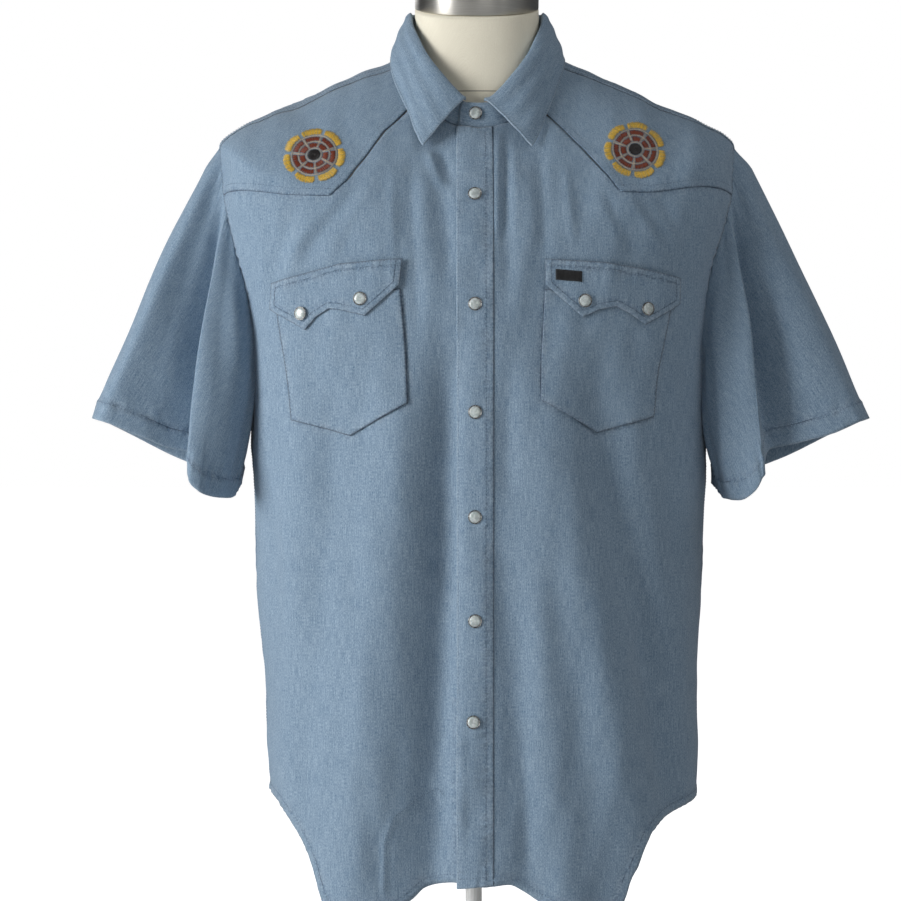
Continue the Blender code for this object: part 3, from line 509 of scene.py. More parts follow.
def cloth(theta, t, out=0.0):
    theta, t = np.broadcast_arrays(np.asarray(theta, float), np.asarray(t, float))
    p, n = chart(BODY, theta, t), chart_normal(BODY, theta, t)
    return p + n * (relief(theta, p) + out)[..., None]


print("folds", len(FOLDS), "creases", len(CREASES))

# %% [markdown]
# A sheet of cloth starts as a flat grid from bmesh's create_grid, whose corners are then moved to the
# points worked out above. Each sheet carries a UV map in metres, which keeps the weave true to size,
# and two attributes in millimetres: how far a point is from a turned edge, and how far from the
# nearest sewn seam or painted shade line. The material uses them for faded edges and for dark lines
# that are partly painted shade. Solidify gives the sheet its wall.

# %% Making a sheet
PIECES = bpy.data.collections.new("dressed shirt")
bpy.context.scene.collection.children.link(PIECES)
FAR = 99.0


def grid_indices(mesh, nu, nv):
    co = np.zeros(len(mesh.vertices) * 3, np.float32)
    mesh.vertices.foreach_get("co", co)
    co = co.reshape(-1, 3)
    return (np.rint((co[:, 0] + 1) / 2 * nu).astype(int), np.rint((co[:, 1] + 1) / 2 * nv).astype(int))


def grid_mesh(name, points, uv, edge, seam):
    nu, nv = points.shape[0] - 1, points.shape[1] - 1
    mesh = bpy.data.meshes.new(name)
    bm = bmesh.new()
    bmesh.ops.create_grid(bm, x_segments=nu, y_segments=nv, size=1)
    bm.to_mesh(mesh)
    bm.free()
    i, j = grid_indices(mesh, nu, nv)
    mesh.vertices.foreach_set("co", points[i, j].astype(np.float32).ravel())
    # the second distance is to the nearest seam or painted shade line; the material draws dark lines from it
    for word, values in (("edge_mm", edge), ("seam_mm", seam)):
        layer = mesh.attributes.new(word, "FLOAT", "POINT")
        spread_out = np.broadcast_to(values, points.shape[:2])[i, j]
        layer.data.foreach_set("value", spread_out.astype(np.float32))
    loops = np.zeros(len(mesh.loops), np.int32)
    mesh.loops.foreach_get("vertex_index", loops)
    layer = mesh.uv_layers.new(name="cloth")
    layer.data.foreach_set("uv", uv[i, j][loops].astype(np.float32).ravel())
    return mesh


def new_piece(name, mesh):
    obj = bpy.data.objects.new(name, mesh)
    PIECES.objects.link(obj)
    return obj


def sheet(name, grids, outward, wall=.0009, ring=False):
    """One cloth shell from grids of (points, uv, edge_mm, seam_mm)."""
    bm = bmesh.new()
    for grid in grids:
        part = grid_mesh(name + "_part", *grid)
        bm.from_mesh(part)
        bpy.data.meshes.remove(part)
    if ring or len(grids) > 1:
        bmesh.ops.remove_doubles(bm, verts=bm.verts, dist=2e-5)
    bm.faces.ensure_lookup_table()
    some = [bm.faces[k] for k in range(0, len(bm.faces), 7)]
    facing = sum(f.normal.dot(Vector(outward(f.calc_center_median()))) * f.calc_area() for f in some)
    if facing < 0:
        bmesh.ops.reverse_faces(bm, faces=bm.faces)
    for face in bm.faces:
        face.smooth = True
    mesh = bpy.data.meshes.new(name)
    bm.to_mesh(mesh)
    bm.free()
    obj = new_piece(name, mesh)
    shell = obj.modifiers.new("wall", "SOLIDIFY")
    shell.thickness, shell.offset = wall, -1
    area = sum(f.area for f in mesh.polygons)
    print(name, len(mesh.polygons), "faces", round(area, 4), "m2")
    return obj


def from_axis(p):
    """Outward of the body: away from its axis, and up on the shoulders."""
    return (p.x, p.y, .35 * max(p.z - .80, 0))


def lengths(points):
    """Running lengths over a grid from its left, right, bottom and top edge."""
    du = np.linalg.norm(np.diff(points, axis=0), axis=-1)
    dv = np.linalg.norm(np.diff(points, axis=1), axis=-1)
    left = np.vstack([np.zeros((1, points.shape[1])), np.cumsum(du, axis=0)])
    low = np.hstack([np.zeros((points.shape[0], 1)), np.cumsum(dv, axis=1)])
    return left, left[-1:] - left, low, low[:, -1:] - low


def dress(obj, nodes):
    """Attach a piece to the root body and hide the solids it stands for."""
    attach(obj, "root")
    if nodes:
        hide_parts(*nodes)


print("ready to cut")

# %% [markdown]
# Seams and stitch rows run beside each other at a steady distance. beside() shifts a chart path
# sideways by real millimetres: it solves for the small step in angle and t whose move in space is
# square to the path and lies in the cloth.

# %% Paths beside a seam
def beside(path, gap):
    """A chart path moved to the left of its run, seen from outside."""
    th, t = path[:, 0], np.clip(path[:, 1], LOWEST + RIM, NECKLINE - RIM)
    du = (chart(BODY, th + STEP_A, t) - chart(BODY, th - STEP_A, t)) / (2 * STEP_A)
    dv = (chart(BODY, th, t + STEP_T) - chart(BODY, th, t - STEP_T)) / (2 * STEP_T)
    run = np.gradient(chart(BODY, th, t), axis=0)
    left = np.cross(chart_normal(BODY, th, t), run / np.linalg.norm(run, axis=1, keepdims=True))
    uu, uv, vv = (du * du).sum(1), (du * dv).sum(1), (dv * dv).sum(1)
    lu, lv = (left * du).sum(1), (left * dv).sum(1)
    step = np.stack([lu * vv - lv * uv, lv * uu - lu * uv], -1) / (uu * vv - uv * uv)[:, None]
    return path + gap * step


def even(path, count=120):
    return bent(along(flat(path), count))


_trial = beside(even(yoke_seam(1)), .004)
print("yoke seam and its shadow lie", round(float(near(
    chart(BODY, _trial[:, 0], _trial[:, 1]), SEAMS["yoke_left"])[0].mean() * 1000), 2), "mm apart")

# %% [markdown]
# Each front is cut from the neck down to the rounded shirt tail. It is gridded in two patches, a main
# one up to the armhole and a gusset under the arm, because one patch would fold over itself at the
# armhole's deep curve. The cloth runs on under the yoke, and under the placket on the right front,
# so no seam shows a gap.

# %% Front panels
PLACKET_L, PLACKET_R, PLACKET_BOTTOM = -.0171, .0176, .1935
NECK_COLS, DIAGONAL_COLS, LEVEL_COLS, SIDE_COLS = 26, 40, 34, 24
LOW_ROWS, HIGH_ROWS = 104, 46
T_PATCH = .76
S_FRONT = np.linspace(ARM_PATCH, ARM_YOKE, HIGH_ROWS + 1)
S_UNDER = np.linspace(ARM_PATCH, .5, SIDE_COLS + 1)
TUCK, HEM_WIDE = .0045, .0075
FRONT_EDGE, BACK_EDGES = 90.3, (89.7, 270.3)


def free_edge_lift(p):
    """The placket's free edge gapes a little near the tail."""
    x, z = p[..., 0], p[..., 2]
    return .0030 * smooth((z - .205) / .05) * smooth((.372 - z) / .05) * smooth((-.004 - x) / .013)


def seam_gap(p, *keys):
    """Distance of points to the nearest of some seams."""
    return np.min([near(p, SEAMS[key])[0] for key in keys], axis=0)


def hem_band(p, key):
    """The hem is turned up twice, so its band stands proud of the panel."""
    return .0007 * smooth((HEM_WIDE + .0006 - seam_gap(p, key)) / .0012)


def arm_ridge(p, *keys):
    """The armhole's seam allowance lifts the cloth beside it."""
    return .0004 * smooth((.009 - seam_gap(p, *keys)) / .006)


def panel(name, grids, out, edges, seams):
    """A panel of the body from chart grids; its seams get dark lines that are partly painted shade, and a
    painted shadow line runs down the right front where the placket gapes.
    """
    made = []
    for g in grids:
        base = chart(BODY, g[..., 0], g[..., 1])
        edge = seam_gap(base, *edges) if edges else FAR
        # dark lines along each seam: partly the darker stitched joint, partly painted shade where the layers
        # meet
        seam = seam_gap(base, *seams)
        if edges and edges[0].startswith("hem"):
            seam = np.minimum(seam, np.abs(edge - HEM_WIDE) + .0002)
        # painted shadow: a dark line down the right front beside the placket's free edge, where the placket
        # gapes
        if edges == ["hem_right"]:
            x, z = base[..., 0], base[..., 2]
            elsewhere = (z > .375) | (z < .212)
            shade = np.abs(x - PLACKET_L + .0006 + .0006 * np.sin(z * 310))
            seam = np.minimum(seam, shade + elsewhere * 1.0)
        points = cloth(g[..., 0], g[..., 1], out(base))
        made.append((points, spread(g[..., 0], g[..., 1]), edge * 1000, seam * 1000))
    return sheet(name, made, from_axis)


def front_panel(side, inner_x):
    word, hem = WORD[side], HEMS[side]
    seam = yoke_seam(side) + np.array([0, TUCK])
    seam[0, 1] = NECKLINE
    seam[-1] = armhole(side, ARM_YOKE)

    def inner(t):
        t = np.asarray(t, float)
        return np.stack([angle_at(inner_x, t)[0], t], -1)

    neck = along([inner(NECKLINE), seam[0]], NECK_COLS)
    diagonal = along(flat(seam[:YOKE_POINT + 2]), DIAGONAL_COLS)
    level = along(flat(seam[YOKE_POINT + 1:]), LEVEL_COLS)
    top = np.vstack([flat(neck), diagonal[1:], level[1:]])
    start = inner(curve(hem, 1, 3.0))[0]
    angles = np.linspace(start, side * rad(FRONT_EDGE), len(top) + SIDE_COLS)
    heights = curve(hem, 1, np.minimum(np.degrees(np.abs(angles)), 90))
    bottom = flat(np.stack([angles, heights], -1))
    t_left = np.r_[np.linspace(bottom[0, 1], T_PATCH, LOW_ROWS + 1),
                   np.linspace(T_PATCH, top[0, 1], HIGH_ROWS + 1)[1:]]
    left = flat(inner(t_left))
    rise = np.linspace(bottom[len(top) - 1], flat(armhole(side, ARM_PATCH)), LOW_ROWS + 1)
    right = np.vstack([rise, flat(armhole(side, S_FRONT))[1:]])
    right[-1] = top[-1]
    main = coons(bottom[:len(top)], top, left, right)
    under = flat(armhole(side, S_UNDER))
    t_side = np.linspace(bottom[-1, 1], under[-1, 1], LOW_ROWS + 1)
    outer = flat(np.stack([np.full(LOW_ROWS + 1, side * rad(FRONT_EDGE)), t_side], -1))
    gusset = coons(bottom[len(top) - 1:], under, rise, outer)

    def out(p):
        lift = hem_band(p, "hem_" + word)
        if side > 0:
            lift = lift + .0011 * smooth((.034 - p[..., 0]) / .014) + free_edge_lift(p)
        return lift + arm_ridge(p, "arm_" + word)

    obj = panel("front_panel_" + word, [bent(main), bent(gusset)], out, ["hem_" + word],
                ["yoke_" + word, "arm_" + word, "side_" + word, "pocket_" + word])
    dress(obj, ["front_" + word])


front_panel(-1, PLACKET_R - .0015)
front_panel(1, PLACKET_L + .0006)

# %% [markdown]
# A western yoke is a separate layer that is laid over the front and stitched down along its pointed
# lower edge. So its edge stands a millimetre proud of the front and throws a fine shadow along the
# seam, and the material draws a thin dark line on the seam, partly the stitched joint and partly
# painted shade.

# %% Front yokes
S_YOKE = np.linspace(ARM_YOKE, ARM_SEAM, 37)
RAISED, FINER = .0006, 20


def raised_edge(p, key, reach=.012):
    return RAISED * smooth((reach - seam_gap(p, key)) / (reach - .002))


def front_yoke(side):
    word = WORD[side]
    seam = yoke_seam(side)
    seam[0, 1] = NECKLINE
    bottom = np.vstack([along(flat(seam[:YOKE_POINT + 2]), DIAGONAL_COLS + FINER),
                        along(flat(seam[YOKE_POINT + 1:]), LEVEL_COLS + FINER)[1:]])
    top = along(flat(shoulder_seam(side)), len(bottom) - 1)
    right = flat(armhole(side, S_YOKE))
    right[0], right[-1] = bottom[-1], top[-1]
    left = np.linspace(bottom[0], top[0], len(right))
    grid = bent(coons(bottom, top, left, right))

    def out(p):
        return raised_edge(p, "yoke_" + word) + arm_ridge(p, "arm_" + word)

    obj = panel("yoke_" + word, [grid], out, [], ["yoke_" + word, "shoulder_" + word, "arm_" + word])
    dress(obj, ["front_yoke_" + word])


front_yoke(-1)
front_yoke(1)

# %% [markdown]
# The back is one wide panel with its own tail, gridded in three patches like the fronts. Above it lies
# the back yoke, which runs over both shoulders and is caught in the shoulder seams at the front.

# %% Back and back yoke
FLIP = np.array([-1, 1])
SHOULDER_LAP = .0010
BOTH_ARMS, BOTH_SIDES = ("arm_left", "arm_right"), ("side_left", "side_right")


def both_halves(line):
    """A line from one side to the middle, then its mirror image back out."""
    return np.vstack([line, (line[::-1] * FLIP)[1:]])


def back_panel():
    mid = math.pi
    high = armhole(1, 1 - S_FRONT)
    line = along(flat([tuple(high[-1])] + [(rad(th), t + TUCK) for th, t in BACK_YOKE[1:]], mid), 60)
    top = both_halves(line)
    under = armhole(1, 1 - S_UNDER)
    under[-1, 0] = rad(BACK_EDGES[0])
    under = flat(under, mid)[::-1]
    angles = np.linspace(rad(BACK_EDGES[0]), rad(BACK_EDGES[1]), len(top) + 2 * SIDE_COLS)
    heights = curve(HEM_B, 1, np.minimum(np.abs(180 - np.degrees(angles)), 90))
    bottom = flat(np.stack([angles, heights], -1), mid)
    rise = np.linspace(bottom[SIDE_COLS], under[-1], LOW_ROWS + 1)
    left = np.vstack([rise, flat(high, mid)[1:]])
    main = coons(bottom[SIDE_COLS:-SIDE_COLS], top, left, left * FLIP)
    t_side = np.linspace(bottom[0, 1], under[0, 1], LOW_ROWS + 1)
    outer = flat(np.stack([np.full(LOW_ROWS + 1, rad(BACK_EDGES[0])), t_side], -1), mid)
    gusset = coons(bottom[:SIDE_COLS + 1], under, outer, rise)
    other = gusset[::-1] * FLIP

    def out(p):
        lap = .0005 * smooth((.010 - seam_gap(p, *BOTH_SIDES)) / .003)
        return hem_band(p, "hem_back") + arm_ridge(p, *BOTH_ARMS) + lap

    obj = panel("back_panel", [bent(main, mid), bent(gusset, mid), bent(other, mid)], out, ["hem_back"],
                ["back_yoke", *BOTH_ARMS, *BOTH_SIDES])
    dress(obj, ["back"])


def back_yoke():
    mid = math.pi
    s = np.r_[np.linspace(ARM_BACK - 1, -.04, 24), np.linspace(-.04, ARM_SEAM, 27)[1:]]
    edge = armhole(1, np.where(s < 0, s + 1, s))
    low = along(flat([tuple(edge[0])] + [(rad(th), t) for th, t in BACK_YOKE[1:]], mid), 96)
    shoulder = shoulder_seam(1)[::-1]
    shoulder[-1, 1] = NECKLINE
    shoulder = along(flat(shoulder, mid), 70)
    neck = along([tuple(shoulder[-1]), (0, NECKLINE)], 26)
    upper = np.vstack([shoulder, neck[1:]])
    left = flat(edge, mid)
    left[-1] = upper[0]
    share = np.interp(np.linspace(0, 1, 50), [0, .125, .25, .375, .5, .625, .75, .875, 1],
                      [0, .20, .38, .54, .67, .78, .87, .94, 1])
    grid = coons(both_halves(low), both_halves(upper), left, left * FLIP, share)

    def out(p):
        lap = SHOULDER_LAP * smooth((.008 - seam_gap(p, "shoulder_left", "shoulder_right")) / .006)
        return raised_edge(p, "back_yoke") + arm_ridge(p, *BOTH_ARMS) + lap

    obj = panel("yoke_back", [bent(grid, mid)], out, ["back_yoke", "shoulder_left", "shoulder_right"],
                BOTH_ARMS)
    dress(obj, ["back_yoke"])


back_panel()
back_yoke()

# %% [markdown]
# Sleeves are set into the armholes. Each starts a little under the edge of the body, hangs away from
# the shoulder and ends in a deep hem. The grid is a tube between two closed lines, the armhole and
# the hem, and the hem's own table says how far it hangs out at each part of the way round.

# %% Sleeves
# sleeve hem: part of the way round, x, y, z, bulge out in x and y
HEM_SLEEVE_R = np.array([
    (0, -.3700, .000, .6320, -.003, 0), (.035, -.3650, -.044, .6300, -.003, 0),
    (.065, -.3530, -.071, .6270, -.002, -.003), (.10, -.3200, -.069, .6140, 0, .002),
    (.135, -.2905, -.061, .6020, 0, .010), (.152, -.2745, -.057, .5985, .000, .013),
    (.168, -.2724, -.075, .5860, -.006, .001), (.184, -.2705, -.090, .5730, -.007, -.008),
    (.225, -.2610, -.092, .5620, .000, -.010),
    (.295, -.2480, -.074, .5560, .012, -.006), (.37, -.2350, -.050, .5550, .016, -.002),
    (.45, -.2280, -.022, .5650, .003, 0), (.54, -.2275, .012, .5680, .000, 0),
    (.61, -.2360, .042, .5680, 0, .003), (.70, -.2650, .062, .5800, 0, .006),
    (.78, -.3000, .066, .5940, 0, .006), (.86, -.3355, .060, .6125, 0, .004),
    (.95, -.3660, .036, .6290, -.002, .002), (1, -.3700, .000, .6320, -.003, 0)])
HEM_SLEEVE_L = np.array([
    (0, .3855, .000, .6320, .001, 0), (.035, .3810, -.040, .6310, .001, 0),
    (.065, .3700, -.060, .6280, .002, 0), (.10, .3430, -.066, .6166, 0, .004),
    (.13, .3080, -.062, .6070, 0, .008), (.150, .2835, -.056, .6012, -.003, .013),
    (.167, .2755, -.074, .5880, .003, .001), (.184, .2730, -.087, .5750, .005, -.007),
    (.225, .2650, -.086, .5610, .000, -.009), (.295, .2540, -.070, .5530, -.010, -.005),
    (.37, .2400, -.050, .5540, -.014, -.002),
    (.45, .2340, -.022, .5640, -.003, 0), (.54, .2350, .012, .5680, .000, 0),
    (.61, .2470, .042, .5680, 0, .003), (.70, .2760, .062, .5800, 0, .006),
    (.78, .3130, .066, .5940, 0, .006), (.86, .3500, .060, .6125, 0, .004),
    (.95, .3820, .036, .6290, .001, .002), (1, .3855, .000, .6320, .001, 0)])
# how far the sleeve head stands out at the shoulder
HEAD = {-1: .005, 1: .008}
# sleeve crease: side, then part round and share down at its two ends, half width, height
SLEEVE_CREASES = [
    (-1, .05, .10, .035, .95, .014, .0026), (-1, .09, .05, .10, .90, .010, -.0022),
    (-1, .23, .05, .24, .95, .014, -.0026),
    (-1, .27, .20, .30, 1.0, .012, .0026), (-1, .35, .30, .36, 1.0, .010, -.0024),
    (-1, .95, .10, .98, .90, .014, .0020), (-1, .88, .05, .86, .95, .012, -.0024),
    (-1, .72, .05, .74, .95, .012, .0024), (-1, .60, .10, .62, 1.0, .010, -.0022),
    (1, .05, .10, .035, .95, .014, -.0024), (1, .085, .05, .10, .90, .010, .0022),
    (1, .23, .05, .24, .95, .014, -.0024),
    (1, .28, .20, .31, 1.0, .012, .0026), (1, .36, .30, .36, 1.0, .010, -.0022),
    (1, .95, .10, .98, .90, .014, -.0018), (1, .88, .05, .86, .95, .012, .0022),
    (1, .72, .05, .74, .95, .012, -.0024), (1, .60, .10, .62, 1.0, .010, .0022)]
SLEEVE_HEM, SLEEVE_TUCK = .019, .004


def grid_normals(grid, ring):
    du = np.gradient(grid, axis=0)
    if ring:
        du[0] = du[-1] = (grid[1] - grid[-2]) / 2
    n = np.cross(du, np.gradient(grid, axis=1))
    return n / np.maximum(np.linalg.norm(n, axis=-1, keepdims=True), 1e-12)


def facing(normals, outward):
    """Normals turned so that most of them point outward."""
    return normals if (normals * outward).sum() >= 0 else -normals


def calm(path, rounds=12):
    """A closed path with its small ripples evened out."""
    ring = path[:-1]
    for _ in range(rounds):
        ring = (np.roll(ring, 1, axis=0) + 2 * ring + np.roll(ring, -1, axis=0)) / 4
    return np.vstack([ring, ring[:1]])


def sleeve(side, table):
    word = WORD[side]
    s = np.unique(np.r_[np.linspace(0, .14, 30), np.linspace(.14, .20, 24), np.linspace(.20, 1, 150)])
    start = armhole(side, s)
    tucked = beside(start, -SLEEVE_TUCK * side)
    top = cloth(start[:, 0], start[:, 1], -.0011) + np.array([side * .0004, 0, 0])
    hem = np.stack([curve(table, n, s) for n in (1, 2, 3)], -1)
    bulge = np.stack([curve(table, 4, s), curve(table, 5, s), 0 * s], -1)
    v = np.linspace(0, 1, 85)
    V = v[None, :, None]
    quiet = calm(top)
    grid = quiet[:, None] * (1 - V) + hem[:, None] * V + bulge[:, None] * 4 * V * (1 - V)
    # the armhole's own puckers die out a little way down the sleeve
    grid += (top - quiet)[:, None] * smooth(1 - V / .12)
    crown = smooth(1 - np.minimum(s, 1 - s) / .10)[:, None]
    crown = crown * smooth(v / .09)[None] * smooth((1 - v) / .5)[None]
    grid[..., 0] += side * HEAD[side] * crown
    left, _, down, up = lengths(grid)
    mid = grid.mean(axis=0)
    n = facing(grid_normals(grid, True), grid - mid[None])
    round_m = left[-1:].mean()
    rise = np.zeros_like(down)
    for which, s0, v0, s1, v1, half, height in SLEEVE_CREASES:
        if which != side:
            continue
        line = s0 + (s1 - s0) * (v[None, :] - v0) / (v1 - v0)
        off = np.abs((s[:, None] - line + .5) % 1 - .5) * round_m
        ends = smooth((v[None, :] - v0 + .12) / .24) * smooth((v1 + .12 - v[None, :]) / .24)
        rise += height * ends * bell(off, half)
    grow = smooth(v * 3)[None, :]
    rise += .0011 * np.sin(2 * np.pi * (3 * s[:, None] + 1.3 * v[None, :] + .2 * side)) * grow
    rise += .0005 * np.sin(2 * np.pi * (7 * s[:, None] - 2.2 * v[None, :])) * grow
    rise += pucker(down, left + 0 * down, .0010, .0085, .010)
    rise += pucker(np.abs(up - SLEEVE_HEM), left, .0014, .0072, .009) + pucker(up, left, .0006, .013, .010)
    rise += .0010 * smooth((SLEEVE_HEM + .0006 - up) / .0012)
    rise *= smooth(down / .012)
    seal = (rise[0] + rise[-1]) / 2
    fade = smooth(1 - np.minimum(s, 1 - s)[:, None] / .03)
    rise = rise * (1 - fade) + seal[None] * fade
    points = grid + n * rise[..., None]
    lip = cloth(tucked[:, 0], tucked[:, 1], -.0016)
    points = np.concatenate([lip[:, None], points], axis=1)
    points[-1] = points[0]
    uv = np.stack([left, down], -1)
    uv = np.concatenate([uv[:, :1] - np.array([0, SLEEVE_TUCK]), uv], axis=1)
    # dark lines at the armhole seam and the hem's stitch line: partly the stitched joint, partly painted
    # shade in the seam's groove
    sewn = np.minimum(down, np.abs(up - SLEEVE_HEM) + .0001)
    edge, seam = (np.concatenate([a[:, :1], a], axis=1) * 1000 for a in (up, sewn))

    def outward(p):
        k = int(np.argmin(np.linalg.norm(mid - np.array(p), axis=1)))
        return np.array(p) - mid[k]

    obj = sheet("sleeve_shell_" + word, [(points, uv, edge, seam)], outward, ring=True)
    dress(obj, ["sleeve_" + word])
    return points


SLEEVES = [sleeve(-1, HEM_SLEEVE_R), sleeve(1, HEM_SLEEVE_L)]

# %% [markdown]
# The collar is two pieces. A stand wraps the neck and closes with a snap, and the leaf is folded over
# it. The leaf starts at the stand's top, rolls over and falls to a pointed edge. Its rows are points
# along that path, joined by a smooth curve, so the roll stays round.

# %% Collar
# top of the stand, as one ring: half_width, centre_x, side_y, side_z, front_y, front_z, back_y, back_z
STAND_TOP = np.array([.0635, .0030, 0, 1.0180, -.0785, .9310, .0650, 1.0360])
# collar angles, in degrees, at which the stand and the leaf begin and end
STAND_ENDS, LEAF_ENDS = (-13.2, 368.0), (-9.0, -355.0)
# height of the stand's top round the front: angle, height, then how high the leaf rolls over it
STAND_FRONT = np.array([(0, .9300, .0040), (8, .9308, .0045), (18, .9385, .0072), (27, .9485, .0092),
                        (46, .9712, .0105), (58, .9875, .0105), (75, 1.0045, .0105), (90, 1.0180, .0105)])
# edge of the leaf: collar angle, body angle, body t, lift
LEAF_EDGE = np.array([(0, 18.9, 1.0095, .0045), (20, 26.2, 1.0320, .0034), (40, 38.0, 1.0515, .0030),
                      (62, 55, 1.0600, .0028), (90, 88, 1.0655, .0028), (135, 134, 1.0630, .0028),
                      (180, 180, 1.0610, .0028)])
STAND_LOW = BODY[-1, 1:]
# how high the leaf rolls over the stand at the back
ROLL = .0105


def neck_axis(p):
    return (p.x - .003, p.y, 0)


def stand_top(a):
    """Top edge of the stand, and how high the leaf rolls over it."""
    points = ring_point(STAND_TOP, a, 2.3)
    turn = np.abs((np.degrees(a) + 180) % 360 - 180)
    points[..., 2] = np.where(turn < 90, curve(STAND_FRONT, 1, turn), points[..., 2])
    return points, curve(STAND_FRONT, 2, turn)


def away(a):
    """Level directions away from the neck."""
    return np.stack([np.sin(a), -np.cos(a), 0 * a], -1)


def collar_stand():
    deg = np.linspace(*STAND_ENDS, 220)
    a = rad(deg)
    v = np.linspace(0, 1, 19)[None, :, None]
    low = ring_point(STAND_LOW, a) + np.array([0, 0, -.0004])
    high = stand_top(a)[0]
    end = np.minimum(deg - STAND_ENDS[0], STAND_ENDS[1] - deg)
    rise = np.sqrt(np.clip(1 - (1 - np.clip(end / 5.5, 0, 1)) ** 2, 0, 1)) * .36 + .64
    inward = .0024 * smooth((deg - 330) / 16)
    out = away(a)
    grid = low[:, None] + (high - low)[:, None] * v * rise[:, None, None] - (out * inward[:, None])[:, None]
    n = facing(grid_normals(grid, False), out[:, None])
    left, right, down, up = lengths(grid)
    swell = .0004 * np.sin(left * 2 * np.pi / .034 + 1) * np.sin(np.pi * v[..., 0]) + .0006
    grid = grid + n * swell[..., None]
    uv = np.stack([down, left], -1)
    edge = np.minimum(np.minimum(left, right), up) * 1000
    # the stand's lower edge comes out as a thin dark line: partly the seam to the neckline, partly painted
    # shade between stand and shirt
    obj = sheet("collar_band", [(grid, uv, edge, down * 1000)], neck_axis, wall=.0012)
    dress(obj, ["collar_stand"])


def collar_leaf():
    start, stop = LEAF_ENDS
    deg = np.linspace(start, stop, 260)
    inner, roll = stand_top(rad(deg))
    roll = roll[:, None] / ROLL
    out = away(rad(deg))
    # the share of the way round from an end of the leaf to its middle, as an angle
    turn = np.minimum(np.abs(deg - start), np.abs(deg - stop)) * 180 / ((start - stop) / 2)
    th = rad(curve(LEAF_EDGE, 1, turn))
    th = np.where(deg > (start + stop) / 2, -th, th)
    edge_t, lift = curve(LEAF_EDGE, 2, turn), curve(LEAF_EDGE, 3, turn)
    edge = chart(BODY, th, edge_t) + chart_normal(BODY, th, edge_t) * lift[:, None]
    up = np.array([0, 0, 1])
    rows = [inner + up * .0011, inner + up * .0075 * roll - out * .0006,
            inner + up * ROLL * roll + out * .0014,
            inner + up * .0080 * roll + out * .0050]
    for v in (.25, .5, .75, 1.0):
        rows.append(rows[3] * (1 - v) + edge * v + (out * .0022 + up * .0008) * 4 * v * (1 - v))
    rows = np.stack(rows, 1)
    knots = np.array([0, .10, .15, .20, .40, .60, .80, 1.0])
    share = np.r_[np.linspace(0, .20, 19), np.linspace(.20, 1, 42)[1:]]
    grid = np.stack([np.stack([monotone(knots, rows[i, :, k], share) for k in range(3)], -1)
                     for i in range(len(deg))])
    n = facing(grid_normals(grid, False), out[:, None] * (share > .20)[None, :, None])
    left, right, down, up_edge = lengths(grid)
    fall = smooth((share - .20) / .1)[None, :]
    long_wave = .0007 * np.sin(left * 2 * np.pi / .085 + .6)
    short_wave = .0004 * np.sin(down * 2 * np.pi / .021 + left * 30)
    rise = fall * (long_wave + short_wave + pucker(up_edge, left, .00022, .009, .008))
    points = grid + n * rise[..., None]
    ends = np.minimum(left, right)
    uv = np.stack([down, left], -1)
    edge_mm = np.minimum(up_edge, np.where(share[None, :] > .19, ends, 1)) * 1000
    obj = sheet("collar_fall", [(points, uv, edge_mm, FAR)], neck_axis, wall=.0012)
    dress(obj, ["collar"])
    return points, n


collar_stand()
LEAF_GRID, LEAF_NORMALS = collar_leaf()

# %% [markdown]
# Whatever is sewn onto the front, the placket strip, the pocket bags, their flaps and the label, is
# cut to its outline as it looks from the front, then laid on the cloth. So it takes the folds of the
# front beneath it, and its edges can be turned down to the cloth they are stitched to.

# %% Pieces laid on the front
OUT_1, OUT_2 = .0022, .0048
FLAP_R = dict(top=[(-.1904, .7583), (-.1560, .7665), (-.1257, .7739), (-.0668, .7778)],
              bottom=[(-.1906, .7339), (-.1572, .7129), (-.1476, .7249), (-.1352, .7321), (-.1257, .7310),
                      (-.1012, .7250), (-.0696, .7536)])
FLAP_L = dict(top=[(.0650, .7778), (.1202, .7746), (.1560, .7700), (.1929, .7628)],
              bottom=[(.0649, .7535), (.0994, .7231), (.1154, .7307), (.1306, .7337), (.1430, .7274),
                      (.1574, .7174), (.1931, .7384)])
FLAPS = {-1: FLAP_R, 1: FLAP_L}
LABEL = [(.0743, .7680), (.0985, .7660), (.0985, .7560), (.0743, .7580)]


def laid(name, bottom, top, left, right, out, wall=.0010, pucker_pitch=.009, sewn=None):
    """A patch between four edges of x and z, laid on the front; out is a number or a rule of x and z."""
    grid = coons(np.array(bottom, float), np.array(top, float), np.array(left, float),
                 np.array(right, float))
    outline = np.vstack([bottom, right, top[::-1], left[::-1]])
    gap, run = near(grid, outline)
    theta, t = place(grid[..., 0], grid[..., 1])
    height = out(grid, gap) if callable(out) else out
    height = height + pucker(gap, run, .00022, pucker_pitch, .007)
    points = cloth(theta, t, height)
    seam = FAR if sewn is None else sewn(grid, gap) * 1000
    return sheet(name, [(points, spread(theta, t), gap * 1000, seam)], from_axis, wall=wall)


def turned_down(gap, height, drop):
    return height - drop * (1 - smooth(gap / .0022))


def gathers(grid, top):
    """Short upright folds hanging from a flap's sewn top."""
    down, run = near(grid, top)
    fine = pucker(np.abs(down - .005), run, .0003, .0042, .006)
    return fine + pucker(np.abs(down - .010), run + .004, .0002, .0125, .012)


Z_TOP = .9045


